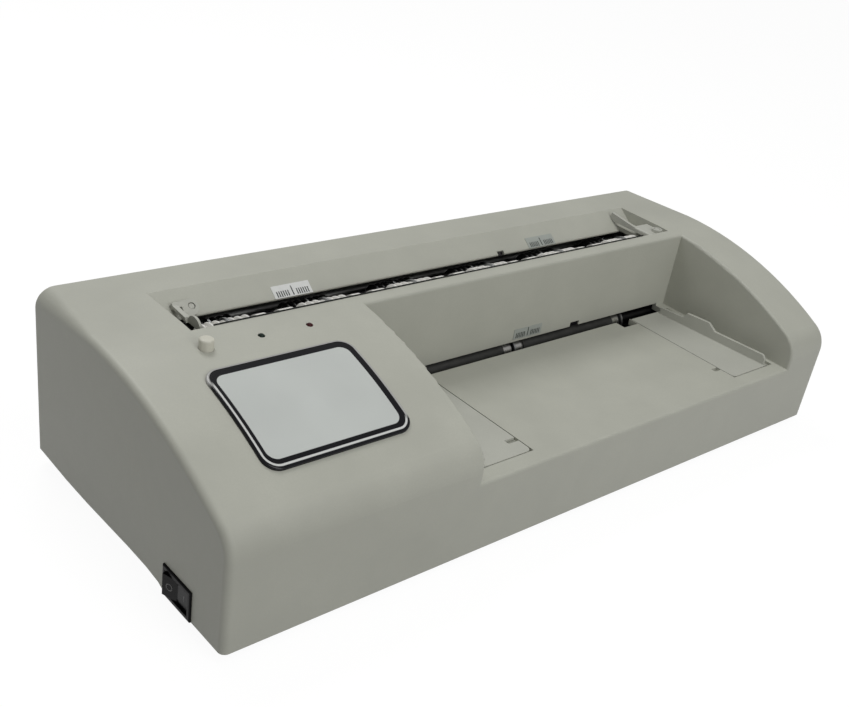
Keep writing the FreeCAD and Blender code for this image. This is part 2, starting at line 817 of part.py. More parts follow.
def gear_pair(one, teeth_one, other, teeth_other, x0, x1, bore_one, bore_other):
    """Two gears in mesh: a tooth of the first points into a space of the second."""
    towards = direction(one, other)
    first = gear(one, teeth_one, towards, x0, x1, bore_one)
    second = gear(other, teeth_other, towards + 180 + 180 / teeth_other, x0, x1, bore_other)
    return first, second


def build_gears():
    left = (-gear_end, -gear_start)
    right = (gear_start, gear_end)
    drive = (-drive_end, -drive_start)
    j = journal_radius
    lower_bottom, lower_top = gear_pair(lower_bottom_centre, lower_pair_teeth, lower_top_centre,
                                        lower_pair_teeth, *left, j, j)
    upper_front, upper_rear = gear_pair(upper_front_centre, upper_pair_teeth, upper_rear_centre,
                                        upper_pair_teeth, *left, j, j)
    large, small = gear_pair(lower_top_centre, transfer_large_teeth, upper_front_centre,
                             transfer_small_teeth, *right, j, j)
    drive_gear, pinion = gear_pair(lower_bottom_centre, drive_gear_teeth, pinion_centre, pinion_teeth,
                                   *drive, j, output_radius)
    shaft = rod(pinion_centre, -drive_end, -plate_inner + output_depth - 0.5, output_radius)
    return {
        "lower_bottom_gear": lower_bottom,
        "lower_top_gear": lower_top,
        "upper_front_gear": upper_front,
        "upper_rear_gear": upper_rear,
        "transfer_large_gear": large,
        "transfer_small_gear": small,
        "drive_gear": drive_gear,
        "motor_pinion": joined([pinion, shaft]),
    }


# --- Cutter shafts ---

def build_shafts():
    left_short = -gear_end
    right_short = bush_outer - 0.2
    return {
        "lower_bottom_shaft": rod(lower_bottom_centre, -drive_end, right_short, journal_radius),
        "lower_top_shaft": rod(lower_top_centre, left_short, gear_end, journal_radius),
        "upper_front_shaft": rod(upper_front_centre, left_short, gear_end, journal_radius),
        "upper_rear_shaft": rod(upper_rear_centre, left_short, right_short, journal_radius),
    }


def knife_set(centre, places, radius, side):
    """Slitting discs just left (-1) or right (1) of each cut."""
    discs = []
    for x in places:
        near = x + side * knife_side_gap
        x0, x1 = sorted((near, near + side * knife_thickness))
        discs.append(rod(centre, x0, x1, radius).cut(rod(centre, x0 - 1, x1 + 1, journal_radius)))
    return spread(*discs)


def ribbed_wheel(centre, x0, x1, first_rib):
    """A wheel with rounded ribs round it at an even pitch."""
    valley = upper_wheel_radius - rib_depth
    crest = upper_wheel_radius
    half_top = rib_pitch * 0.16
    half_foot = rib_pitch * 0.36
    edges = []
    here = Vector(x0, 0, journal_radius)
    corner = Vector(x0, 0, valley)
    edges.append(Part.makeLine(here, corner))
    rib = first_rib
    while rib + half_foot < x1 + 0.01:
        foot = Vector(rib - half_foot, 0, valley)
        if (foot - corner).Length > 0.01:
            edges.append(Part.makeLine(corner, foot))
        rise = Vector(rib - half_top, 0, crest - half_top * 0.6)
        fall = Vector(rib + half_top, 0, crest - half_top * 0.6)
        heel = Vector(rib + half_foot, 0, valley)
        edges.append(Part.makeLine(foot, rise))
        edges.append(Part.Arc(rise, Vector(rib, 0, crest), fall).toShape())
        edges.append(Part.makeLine(fall, heel))
        corner = heel
        rib += rib_pitch
    last = Vector(x1, 0, valley)
    edges.append(Part.makeLine(corner, last))
    end = Vector(x1, 0, journal_radius)
    edges.append(Part.makeLine(last, end))
    edges.append(Part.makeLine(end, here))
    face = Part.Face(Part.Wire(edges))
    wheel = face.revolve(Vector(0, 0, 0), Vector(1, 0, 0), 360)
    wheel.translate(Vector(0, centre[0], centre[1]))
    return wheel


def wheel_set(centre, side):
    """Two ribbed wheels at each strip knife, one on each side of its disc, relieved for the facing disc."""
    near = side * knife_side_gap
    low, high = sorted((near, near + side * knife_thickness))
    relief = 2 * upper_reach - upper_knife_radius - nip_gap
    wheels = []
    for x in strip_knives:
        left = x - wheel_group / 2
        group = ribbed_wheel(centre, left, x + wheel_group / 2, left + rib_pitch / 2)
        facing = rod(centre, x - high - nip_gap, x - low + nip_gap, upper_reach + 1)
        facing = facing.cut(rod(centre, x - wheel_group, x + wheel_group, relief))
        wheels += without(group, [rod(centre, x + low, x + high, upper_reach + 1), facing]).Solids
    return spread(*wheels)


def collar(centre, x0, x1, radius):
    """A set collar with its grub screw's hole."""
    ring = rod(centre, x0, x1, radius).cut(rod(centre, x0 - 1, x1 + 1, journal_radius))
    middle_x = (x0 + x1) / 2
    hole = Part.makeCylinder(1.2, radius + 2, Vector(middle_x, centre[0], centre[1]), Vector(0, 1, -1))
    return ring.cut(hole)


def upper_collars(centre):
    """A short and a long collar between neighbouring knives."""
    rings = []
    for left, right in zip(strip_knives, strip_knives[1:]):
        start = left + short_collar_clear
        end = right - long_collar_clear
        rings.append(collar(centre, start, start + short_collar_length, upper_collar_radius))
        rings.append(collar(centre, end - long_collar_length, end, upper_collar_radius))
    return spread(*rings)


def lower_collars(centre):
    """A collar on each side of every knife, except beyond the last one."""
    half = lower_collar_gap / 2
    lefts = [x - half - lower_collar_length for x in card_knives] + [x + half for x in card_knives[:-1]]
    return spread(*[collar(centre, x, x + lower_collar_length, lower_collar_radius) for x in lefts])


def lower_rollers(centre, clear):
    """Rubber rollers left of each card knife, kept clear of the knives by a distance."""
    starts = [card_knives[0] - roller_overhang] + [x + clear for x in card_knives[:-1]]
    ends = [x - clear for x in card_knives]
    rolls = []
    for x0, x1 in zip(starts, ends):
        rolls.append(rod(centre, x0, x1, lower_roller_radius).cut(rod(centre, x0 - 1, x1 + 1, journal_radius)))
    return spread(*rolls)


# --- Guides ---

def build_right_lower_guide():
    """A plate let into the table, two studs under it and a bent fence that flares to the front."""
    top = table_top
    plate = box(right_plate_left, right_plate_right, plate_front, table_rear - seam, top - guide_plate_thickness, top)
    corner = [e for e in plate.Edges if e.BoundBox.ZLength > 1 and e.BoundBox.XMin < right_plate_left + 1
              and e.BoundBox.YMin < plate_front + 1]
    plate = plate.makeFillet(3.0, corner)
    rear = table_rear - seam - 2
    front = plate_front + 1.5
    step = front + guide_plate_length * 0.52
    flare = guide_flare
    fence = plan([(right_fence - 0.8, rear), (right_fence + flare, front),
                  (right_fence + flare + fence_thickness, front), (right_fence - 0.8 + fence_thickness, rear)],
                 top - guide_plate_thickness / 2, top + 12)
    low = top + 3.8
    high = top + 8.6
    keep = prism([(rear + 1, top - 2), (rear + 1, low), (rear - 16, low + 0.8), (rear - 18, high - 0.6),
                  (step, high), (step - 5, low + 1.2), (front + 2, low + 1.6), (front, low - 0.4),
                  (front - 1, top - 2)], right_fence - 5, right_fence + 12)
    studs = [post(stud_x, y, table_under - 4.5, top - guide_plate_thickness / 2, screw_radius) for y in stud_places]
    return joined([plate, fence.common(keep)] + studs)


def build_left_lower_guide():
    """The right guide's mirror image, with the mark in its own plate."""
    seam_x = 2 * lower_channel_centre - right_plate_left
    return mirrored(build_right_lower_guide()).cut(guide_mark(seam_x - 6.5, seam_x + 1))


def build_right_lower_nuts():
    top = table_under - 0.15
    return spread(*[hexagon(stud_x, y, top - 2.4, top, 5.5, screw_radius) for y in stud_places])


ear_thick = 2.8
ear_seat = 0.15
fence_gap = 0.8
fin_radius = 5.6
fin_centre = (32.4, ledge_top - 0.6)


def build_left_upper_guide():
    """An ear that lies on the trough's rear wall, a foot over the ledge and a round fin at the slot's end."""
    face = left_guide_face
    foot_low = ledge_top + ear_seat
    foot_right = face - 9.7
    foot_left = foot_right - 2.4
    ledge_up = foot_low - trough_floor
    top_up = 5.4
    ear = prism([on_wall(0.5, ear_seat), on_wall(top_up, ear_seat), on_wall(top_up, ear_thick),
                 on_wall(0.5, ear_thick)], face - 8.0, face)
    across = [e for e in ear.Edges if e.BoundBox.XMin > face - 0.001
              and abs(e.Length - ear_thick + ear_seat) < 0.001]
    lower = [e for e in across if e.BoundBox.ZMin < trough_floor + 3]
    upper = [e for e in across if e.BoundBox.ZMin > trough_floor + 3]
    ear = ear.makeFillet(4.6, lower)
    same = [e for e in ear.Edges if any(e.CenterOfMass.isEqual(u.CenterOfMass, 0.01) for u in upper)]
    ear = ear.makeFillet(2.4, same)
    shoulder_up = ledge_up + 1.6
    shoulder = prism([on_wall(ledge_up, ear_seat), on_wall(shoulder_up, ear_seat), on_wall(shoulder_up, ear_thick),
                      on_wall(ledge_up, ear_thick)], foot_left, face - 7.5)
    foot = prism([on_wall(ledge_up, ear_thick - 1), on_wall(shoulder_up, ear_thick - 1),
                  (fin_centre[0] + fin_radius, foot_low + 2.2), (fin_centre[0] + fin_radius - 1.2, foot_low)],
                 foot_left, foot_right)
    fin = rod(fin_centre, foot_right - 1.2, foot_right, fin_radius)
    fin = fin.common(box(foot_right - 1.2, foot_right, fin_centre[0] - fin_radius, on_wall(ledge_up, 1)[0],
                         foot_low, case_top))
    web = box(foot_right - 1.2, foot_right, fin_centre[0], fin_centre[0] + fin_radius + 1, foot_low, foot_low + 2.0)
    out = Vector(0, wall_out[0], wall_out[1])
    hole_base = on_wall(left_screw_up, -1)
    hole = Part.makeCylinder(1.25, 12, Vector(left_screw_x, hole_base[0], hole_base[1]), out)
    sink_base = on_wall(left_screw_up, ear_thick - 1.2)
    sink = Part.makeCylinder(1.7, 3, Vector(left_screw_x, sink_base[0], sink_base[1]), out)
    return without(joined([ear, shoulder, foot, fin, web]), [hole, sink])


def build_left_upper_guide_screw():
    """The lock screw through the rear wall, its head sunk in the ear, with its nut behind."""
    out = Vector(0, wall_out[0], wall_out[1])
    tail = on_wall(left_screw_up, -case_wall - 3.2)
    seat = ear_thick - 1.2
    head = on_wall(left_screw_up, seat)
    shank = Part.makeCylinder(1.25, case_wall + 3.2 + seat, Vector(left_screw_x, tail[0], tail[1]), out)
    cap = Part.makeCylinder(1.4, 0.9, Vector(left_screw_x, head[0], head[1]), out)
    nut_base = on_wall(left_screw_up, -case_wall - 0.15 - 2.0)
    nut = Part.makeCylinder(1.9, 2.0, Vector(left_screw_x, nut_base[0], nut_base[1]), out)
    nut = nut.cut(Part.makeCylinder(1.25, 4.0, Vector(left_screw_x, nut_base[0], nut_base[1]) - out, out))
    return spread(shank.fuse(cap), nut)


def build_right_upper_guide():
    """A block on the ledge with a thin fence that runs back to the rear wall."""
    x0 = sheet_edge
    x1 = trough_right - 0.5
    y0 = trough_front + 0.8
    y1 = y0 + 15.2
    z0 = ledge_top + 0.15
    z1 = case_top - 1.6
    block = box(x0, x1, y0, y1, z0, z1)
    upper = [e for e in block.Edges if e.BoundBox.ZMin > z1 - 0.01]
    block = block.makeFillet(1.2, upper)
    clear = upper_front_centre[1] + upper_knife_radius + 0.5
    block = block.cut(box(x0 - 1, x0 + 4.2, y0 - 1, y1 + 1, z0 - 1, clear))
    rear = on_wall(trough_depth - 3.0, fence_gap)
    low = on_wall(clear - trough_floor - fence_gap * wall_out[1], fence_gap)
    fence = prism([(y1 - 2, clear), (y1 - 2, z1 - 0.3), (rear[0], case_top + 0.4), rear, low],
                  x0, x0 + fence_thickness)
    boss = post(right_screw_x, right_screw_y, z1 - 2, z1 + 1.6, 3.1)
    hole = post(right_screw_x, right_screw_y, z0 - 1, z1 + 2, 1.25)
    sink = post(right_screw_x, right_screw_y, z1 + 0.6, z1 + 2, 2.1)
    body = joined([block, fence, boss])
    return without(body, [hole, sink])


def build_right_upper_guide_screw():
    z1 = case_top - 1.6
    under = ledge_top - case_wall
    shank = post(right_screw_x, right_screw_y, under - 2.6, z1 + 0.6, 1.25)
    cap = post(right_screw_x, right_screw_y, z1 + 0.6, z1 + 1.5, 1.7)
    nut = hexagon(right_screw_x, right_screw_y, under - 2.15, under - 0.15, 5.0, 1.25)
    return spread(shank.fuse(cap), nut)


# --- Electrics ---

switch_body_length = 19.2
switch_body_height = 12.9
switch_depth = 18.0
switch_low = case_bottom + (switch_height - switch_body_height) / 2
rocker_radius = 8.6
rocker_height = 10.6
rocker_tilt = 9.0
rocker_axis_x = -half_length - bezel_out + 2.2
inlet_width = 27.0
inlet_height = 19.6
inlet_depth = 28.0
inlet_z = case_bottom + inlet_up


def build_switch_body():
    z0 = case_bottom
    bezel = box(-half_length - bezel_out, -half_length, switch_y - switch_length / 2, switch_y + switch_length / 2,
                z0, z0 + switch_height)
    rim = [e for e in bezel.Edges if e.BoundBox.XMax < -half_length - bezel_out + 0.01]
    bezel = bezel.makeFillet(0.6, rim)
    half = switch_body_length / 2 - 0.1
    body = box(-half_length, -half_length + switch_depth, switch_y - half, switch_y + half, switch_low + 0.1,
               switch_low + switch_body_height - 0.1)
    mid = case_bottom + switch_height / 2
    well = box(-half_length - 5, rocker_axis_x + 9.2, switch_y - rocker_radius - 0.25,
               switch_y + rocker_radius + 0.25, mid - rocker_height / 2 - 0.25, mid + rocker_height / 2 + 0.25)
    pins = [post(rocker_axis_x, switch_y, mid - rocker_height / 2 - 0.3, mid - rocker_height / 2 + 1.5, 1.2),
            post(rocker_axis_x, switch_y, mid + rocker_height / 2 - 1.5, mid + rocker_height / 2 + 0.3, 1.2)]
    tabs = [box(-half_length + switch_depth, -half_length + switch_depth + 7, switch_y + y - 0.4,
                switch_y + y + 0.4, mid - 2.4, mid + 2.4) for y in (-5, 2)]
    return joined([joined([bezel, body]).cut(well)] + pins + tabs)


def build_rocker():
    """The rocker turns about a vertical pin. Its two faces meet in a shallow valley."""
    mid = case_bottom + switch_height / 2
    z0 = mid - rocker_height / 2
    drum = post(rocker_axis_x, switch_y, z0, z0 + rocker_height, rocker_radius)
    out = rocker_axis_x
    keep = plan([(out - 3.0, switch_y - 12), (out - 1.2, switch_y), (out - 3.0, switch_y + 12),
                 (out + 3.0, switch_y + 12), (out + 3.0, switch_y - 12)], z0, z0 + rocker_height)
    rocker = drum.common(keep)
    bores = [post(rocker_axis_x, switch_y, z0 - 1, z0 + 1.6, 1.25),
             post(rocker_axis_x, switch_y, z0 + rocker_height - 1.6, z0 + rocker_height + 1, 1.25)]
    rocker = without(rocker, bores)
    rocker.rotate(Vector(rocker_axis_x, switch_y, 0), Vector(0, 0, 1), rocker_tilt)
    return rocker


def build_inlet():
    flange = box(inlet_x - 15.5, inlet_x + 15.5, rear_y, rear_y + 2.5, inlet_z - 12, inlet_z + 12)
    rim = [e for e in flange.Edges if e.BoundBox.YMin > rear_y + 2.49]
    flange = flange.makeFillet(0.8, rim)
    body = box(inlet_x - inlet_width / 2 + 0.1, inlet_x + inlet_width / 2 - 0.1, rear_y - inlet_depth, rear_y,
               inlet_z - inlet_height / 2 + 0.1, inlet_z + inlet_height / 2 - 0.1)
    well = plan([(inlet_x - 12, rear_y + 5), (inlet_x + 12, rear_y + 5), (inlet_x + 12, rear_y - 15),
                 (inlet_x - 12, rear_y - 15)], inlet_z - 8, inlet_z + 8)
    slopes = [e for e in well.Edges if e.BoundBox.YLength > 10 and e.BoundBox.ZMin > inlet_z]
    well = well.makeChamfer(4.5, slopes)
    slots = [box(x - 1.0, x + 1.0, rear_y - inlet_depth - 1, rear_y - 14, z - 2, z + 2) for x, z in inlet_pin_places]
    return without(joined([flange, body]), [well] + slots)


inlet_pin_places = [(inlet_x - 7.0, inlet_z - 2.0), (inlet_x + 7.0, inlet_z - 2.0), (inlet_x, inlet_z + 2.0)]


def build_inlet_pins():
    return spread(*[box(x - 1.0, x + 1.0, rear_y - inlet_depth - 7, rear_y - 4, z - 2, z + 2)
                    for x, z in inlet_pin_places])


core_left = -150.0
core_right = -100.0
core_front = front_y + case_wall + 4.0
core_depth = 36.0
core_height = 42.0
transformer_screws = [(core_left - 5, core_front + core_depth / 2), (core_right + 5, core_front + core_depth / 2)]


def build_transformer_core():
    """A laminated frame with a window each side of its middle leg, and two ears to screw it down."""
    rear = core_front + core_depth
    core = box(core_left, core_right, core_front + 8, rear - 8, base_top, base_top + core_height)
    windows = [box(core_left + 8, core_left + 17, core_front, rear, base_top + 8, base_top + core_height - 8),
               box(core_right - 17, core_right - 8, core_front, rear, base_top + 8, base_top + core_height - 8)]
    ears = box(core_left - 9, core_right + 9, core_front + 11, rear - 11, base_top, base_top + 1.5)
    holes = [post(x, y, base_top - 1, base_top + 3, screw_radius) for x, y in transformer_screws]
    return without(joined([core.cut(windows[0]).cut(windows[1]), ears]), holes)


def build_transformer_coil():
    """The winding on its bobbin, round the core's middle leg."""
    rear = core_front + core_depth
    low = base_top + 8
    high = base_top + core_height - 8
    coil = box(core_left + 8, core_right - 8, core_front + 0.5, rear - 0.5, low, high)
    upright = [e for e in coil.Edges if e.BoundBox.ZLength > 10]
    coil = coil.makeFillet(5.0, upright)
    leg = box(core_left + 17, core_right - 17, core_front + 8, rear - 8, low - 1, high + 1)
    return coil.cut(leg)


pcb_left = 12.0
pcb_right = 102.0
pcb_front = front_y + 12.0
pcb_rear = front_y + 66.0
pcb_bottom = base_top + 6.0
pcb_top = pcb_bottom + 1.6
standoff_pin = 1.5
standoff_places = [(x, y) for x in (pcb_left + 5, pcb_right - 5) for y in (pcb_front + 5, pcb_rear - 5)]


def build_control_board():
    board = box(pcb_left, pcb_right, pcb_front, pcb_rear, pcb_bottom, pcb_top)
    return without(board, [post(x, y, pcb_bottom - 1, pcb_top + 1, standoff_pin) for x, y in standoff_places])


def build_standoffs():
    """Nylon pillars with a pin into the base and a snap head over the board."""
    pillars = []
    for x, y in standoff_places:
        pillar = post(x, y, base_top, pcb_bottom, 3.0)
        pin = post(x, y, case_bottom, pcb_top, standoff_pin)
        head = post(x, y, pcb_top, pcb_top + 1.0, 2.2)
        pillars.append(joined([pillar, pin, head]))
    return spread(*pillars)


panel_left = -167.0
panel_right = -100.0
panel_front = -3.0
panel_rear = 15.0


def build_board_components():
    """What stands on the two boards: relay, capacitors, terminal block, chip and the button's switch."""
    relay = box(pcb_left + 12, pcb_left + 31, pcb_front + 8, pcb_front + 23, pcb_top, pcb_top + 15)
    second = box(pcb_left + 12, pcb_left + 31, pcb_front + 28, pcb_front + 43, pcb_top, pcb_top + 15)
    tall = post(pcb_left + 45, pcb_front + 16, pcb_top, pcb_top + 16, 6.5)
    short = post(pcb_left + 45, pcb_front + 34, pcb_top, pcb_top + 12, 5.0)
    chip = box(pcb_left + 58, pcb_left + 72, pcb_front + 20, pcb_front + 28, pcb_top, pcb_top + 3.2)
    terminals = box(pcb_left + 56, pcb_left + 80, pcb_rear - 12, pcb_rear - 3, pcb_top, pcb_top + 10)
    tact = box(button_x - 3, button_x + 3, button_y - 3, button_y + 3, board_top, board_top + 3.5)
    nub = post(button_x, button_y, board_top + 3.5, board_top + 4.0, 1.7)
    return spread(relay, second, tall, short, chip, terminals, tact.fuse(nub))


def build_panel_board():
    board = box(panel_left, panel_right, panel_front, panel_rear, board_under, board_top)
    return without(board, [post(x, panel_screw_y, board_under - 1, board_top + 1, screw_radius + hole_play)
                           for x in panel_screw_x])


def build_panel_board_screws():
    return spread(*[screw_up(x, panel_screw_y, board_under, board_top + 5) for x in panel_screw_x])


def skin_top(y):
    """Height of the case's outer face at a Y."""
    if y >= slope_start:
        return case_top
    return slope_centre + math.sqrt(slope_radius ** 2 - (y - slope_start) ** 2)


def build_led(x):
    """A round lamp on its spacer, its dome just through the panel."""
    dome_base = skin_top(led_y) - 0.6
    dome = Part.makeSphere(led_radius, Vector(x, led_y, dome_base))
    dome = dome.common(post(x, led_y, dome_base, dome_base + led_radius + 1, led_radius + 1))
    lens = post(x, led_y, skin_top(led_y) - 7, dome_base, led_radius)
    spacer = post(x, led_y, board_top, skin_top(led_y) - 7, led_radius + 1.0)
    return joined([dome, lens, spacer])


def build_button():
    """A cap with a flange that holds it in its guide, and a stem down to the small switch."""
    top = case_bottom + button_top_up
    cap = post(button_x, button_y, button_seat - 0.1, top, button_radius)
    rim = [e for e in cap.Edges if e.BoundBox.ZMin > top - 0.01]
    cap = cap.makeFillet(0.9, rim)
    flange = post(button_x, button_y, button_seat - 1.4, button_seat - 0.1, button_radius + 1.3)
    stem = post(button_x, button_y, board_top + 4.0 + button_travel + 0.2, button_seat - 1.4, 1.8)
    return joined([cap, flange, stem])


def build_badge():
    """A thin plate with round corners that follows the case's slope."""
    slope = (slope_start, slope_centre)
    outer = slope_radius + badge_thickness
    a_rear = math.degrees(math.acos((badge_rear - slope_start) / slope_radius))
    a_front = math.degrees(math.acos((badge_front - slope_start) / slope_radius))
    band = wire_prism([
        arc(slope, slope_radius, a_rear, a_front),
        line(moved(slope, a_front, slope_radius), moved(slope, a_front, outer)),
        arc(slope, outer, a_front, a_rear),
        line(moved(slope, a_rear, outer), moved(slope, a_rear, slope_radius)),
    ], badge_left, badge_right)
    corners = [e for e in band.Edges if e.BoundBox.XLength < 0.001 and abs(e.Length - badge_thickness) < 0.01]
    band = band.makeFillet(badge_corner, corners)
    rim = [e for e in band.Edges if min((v.Point - Vector(v.Point.x, *slope)).Length for v in e.Vertexes)
           > outer - 0.01]
    return band.makeFillet(badge_edge, rim)


def build_sensors():
    """Two small light gates, one in each notch over a paper path."""
    half = sensor_width / 2 - 0.2
    turn = on_wall(sensor_height - 0.2, -case_wall - 0.4)
    tail = turn[0] + 5.5
    upper = prism([(lip_centre[0] + 0.65, trough_floor - 0.6), on_wall(sensor_height - 0.2, -0.9), turn,
                   (tail, turn[1]), (tail, trough_floor - 2.4)],
                  sensor_x - half, sensor_x + half)
    half = lower_sensor_width / 2 - 0.2
    low = table_top + feed_gap + 0.1
    lower = box(lower_sensor_x - half, lower_sensor_x + half, bay_back + 0.8, bay_back + case_wall, low,
                low + lower_sensor_height - 0.3)
    return spread(upper, lower)


label_thickness = 0.25
label_width = 21.5


def build_labels():
    """Three thin scales: two on the trough's rear wall and one over the feed slot."""
    labels = []
    for x0 in (-98.7, 72.2):
        labels.append(prism([on_wall(1.1, 0), on_wall(5.1, 0), on_wall(5.1, label_thickness),
                             on_wall(1.1, label_thickness)], x0, x0 + label_width))
    labels.append(box(35.3, 35.3 + label_width, bay_back - label_thickness, bay_back, table_top + 3, table_top + 9))
    return spread(*labels)


# --- Write every node ---

def build_nodes():
    nodes = {
        "case": build_case(),
        "base_plate": build_base(),
        "rubber_feet": build_feet(),
        "base_screws": build_base_screws(),
        "left_side_plate": build_left_side_plate(),
        "right_side_plate": build_right_side_plate(),
        "tie_rods": build_tie_rods(),
        "frame_screws": build_frame_screws(),
        "shaft_bushes": build_bushes(),
        "strip_chute": build_strip_chute(),
        "card_chute": build_card_chute(),
        "gearbox": build_gearbox(),
        "motor_can": build_motor(),
        "lower_bottom_knives": knife_set(lower_bottom_centre, card_knives, lower_knife_radius, 1),
        "lower_top_knives": knife_set(lower_top_centre, card_knives, lower_knife_radius, -1),
        "upper_front_knives": knife_set(upper_front_centre, strip_knives, upper_knife_radius, 1),
        "upper_rear_knives": knife_set(upper_rear_centre, strip_knives, upper_knife_radius, -1),
        "upper_front_wheels": wheel_set(upper_front_centre, 1),
        "upper_rear_wheels": wheel_set(upper_rear_centre, -1),
        "lower_bottom_rollers": lower_rollers(lower_bottom_centre, lower_collar_gap / 2 + lower_collar_length),
        "lower_top_rollers": lower_rollers(lower_top_centre, lower_collar_gap / 2),
        "upper_front_collars": upper_collars(upper_front_centre),
        "lower_bottom_collars": lower_collars(lower_bottom_centre),
        "right_lower_guide": build_right_lower_guide(),
        "left_lower_guide": build_left_lower_guide(),
        "right_lower_guide_nuts": build_right_lower_nuts(),
        "left_lower_guide_nuts": mirrored(build_right_lower_nuts()),
        "left_upper_guide": build_left_upper_guide(),
        "left_upper_guide_screw": build_left_upper_guide_screw(),
        "right_upper_guide": build_right_upper_guide(),
        "right_upper_guide_screw": build_right_upper_guide_screw(),
        "power_switch_body": build_switch_body(),
        "power_switch_rocker": build_rocker(),
        "power_inlet": build_inlet(),
        "power_inlet_pins": build_inlet_pins(),
        "transformer_core": build_transformer_core(),
        "transformer_coil": build_transformer_coil(),
        "control_board": build_control_board(),
        "board_standoffs": build_standoffs(),
        "board_components": build_board_components(),
        "panel_board": build_panel_board(),
        "panel_board_screws": build_panel_board_screws(),
        "green_lamp": build_led(green_led_x),
        "red_lamp": build_led(red_led_x),
        "start_button": build_button(),
        "badge": build_badge(),
        "paper_sensors": build_sensors(),
        "scale_labels": build_labels(),
    }
    nodes.update(build_gears())
    nodes.update(build_shafts())
    return nodes


for name, shape in build_nodes().items():
    shape.exportStep("parts/" + name + ".step")
    print(name, len(shape.Solids), round(shape.Volume, 1), shape.isValid())
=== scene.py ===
"""Looks of an electric business card cutter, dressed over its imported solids."""

import json
import logging
import math
from dataclasses import dataclass, field
from enum import Enum
from typing import Any, Sequence

import bmesh
import bpy
from mathutils import Matrix, Vector


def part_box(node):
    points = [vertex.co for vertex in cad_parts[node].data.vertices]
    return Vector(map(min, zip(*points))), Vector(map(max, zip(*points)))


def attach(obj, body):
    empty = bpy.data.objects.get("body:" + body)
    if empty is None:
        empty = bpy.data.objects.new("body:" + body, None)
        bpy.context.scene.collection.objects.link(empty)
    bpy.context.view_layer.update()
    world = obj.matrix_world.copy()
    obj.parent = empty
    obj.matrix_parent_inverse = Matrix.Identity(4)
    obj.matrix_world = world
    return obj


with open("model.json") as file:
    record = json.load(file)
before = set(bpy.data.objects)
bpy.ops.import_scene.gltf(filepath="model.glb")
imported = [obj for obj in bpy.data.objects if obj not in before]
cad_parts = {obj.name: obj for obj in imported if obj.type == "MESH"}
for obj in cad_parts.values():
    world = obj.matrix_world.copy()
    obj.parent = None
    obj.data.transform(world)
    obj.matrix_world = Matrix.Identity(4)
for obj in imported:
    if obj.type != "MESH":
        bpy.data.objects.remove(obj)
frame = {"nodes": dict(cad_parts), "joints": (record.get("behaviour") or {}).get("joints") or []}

LOG = logging.getLogger("card_cutter")
MM = 0.001
Colour = tuple[float, float, float]
Pair = tuple[float, float]
Operand = Any
Inputs = dict[str | int, Operand]
WHITE: Colour = (1.0, 1.0, 1.0)

# The Mix node's colour sockets, by number: its two inputs and its result.
MIX_ONE = 6
MIX_OTHER = 7
MIX_RESULT = 2

# Sharp edges in a shader: the rays for each point, and the bend of the normal that counts in full.
EDGE_SAMPLES = 4
EDGE_BEND = 0.12


# --- Shader expressions ---


class Wire:
    """A shader socket that takes part in Python expressions."""

    def __init__(self, tree: bpy.types.NodeTree, socket: bpy.types.NodeSocket) -> None:
        """Wraps a socket.

        Args:
            tree: The node tree that the socket belongs to.
            socket: The output socket.
        """
        self.tree = tree
        self.socket = socket

    def math(self, operation: str, *values: Operand) -> "Wire":
        """Adds one Math node.

        Args:
            operation: The node's operation.
            *values: Numbers or wires for its inputs, in order.

        Returns:
            The node's result.
        """
        node = self.tree.nodes.new("ShaderNodeMath")
        node.operation = operation
        for slot, value in zip(node.inputs, values):
            plug(self.tree, slot, value)
        return Wire(self.tree, node.outputs[0])

    def __add__(self, other: Operand) -> "Wire":
        """self + other."""
        return self.math("ADD", self, other)

    def __radd__(self, other: Operand) -> "Wire":
        """other + self."""
        return self.math("ADD", other, self)

    def __sub__(self, other: Operand) -> "Wire":
        """self - other."""
        return self.math("SUBTRACT", self, other)

    def __rsub__(self, other: Operand) -> "Wire":
        """other - self."""
        return self.math("SUBTRACT", other, self)

    def __mul__(self, other: Operand) -> "Wire":
        """self * other."""
        return self.math("MULTIPLY", self, other)

    def __pow__(self, other: Operand) -> "Wire":
        """self ** other."""
        return self.math("POWER", self, other)

    def __abs__(self) -> "Wire":
        """abs(self)."""
        return self.math("ABSOLUTE", self)

    def __gt__(self, other: Operand) -> "Wire":
        """1 where self is over other, else 0."""
        return self.math("GREATER_THAN", self, other)

    def high(self, other: Operand) -> "Wire":
        """The larger of self and other."""
        return self.math("MAXIMUM", self, other)

    def low(self, other: Operand) -> "Wire":
        """The smaller of self and other."""
        return self.math("MINIMUM", self, other)


def plug(tree: bpy.types.NodeTree, slot: bpy.types.NodeSocket, value: Operand) -> None:
    """Links a wire to a socket, or writes a plain value on it.

    Args:
        tree: The node tree.
        slot: The input socket.
        value: A wire, a number, or a tuple for a colour or vector.
    """
    if isinstance(value, Wire):
        tree.links.new(value.socket, slot)
        return
    if isinstance(value, tuple) and slot.type == "RGBA" and len(value) == 3:
        value = (*value, 1.0)
    slot.default_value = value


class Graph:
    """A node tree that is built from expressions."""

    def __init__(self, tree: bpy.types.NodeTree) -> None:
        """Takes a tree and empties it.

        Args:
            tree: The node tree.
        """
        self.tree = tree
        self.tree.nodes.clear()

    def node(
        self,
        kind: str,
        settings: dict[str, Any] | None = None,
        inputs: Inputs | None = None,
        output: str | int = 0,
    ) -> Wire:
        """Adds one node of any kind.

        Args:
            kind: The node's type, without the ShaderNode prefix.
            settings: Its own settings, set first.
            inputs: Values or wires by socket name or number.
            output: The output to return.

        Returns:
            The chosen output.
        """
        node = self.tree.nodes.new("ShaderNode" + kind)
        for key, value in (settings or {}).items():
            setattr(node, key, value)
        for key, value in (inputs or {}).items():
            plug(self.tree, node.inputs[key], value)
        return Wire(self.tree, node.outputs[output])


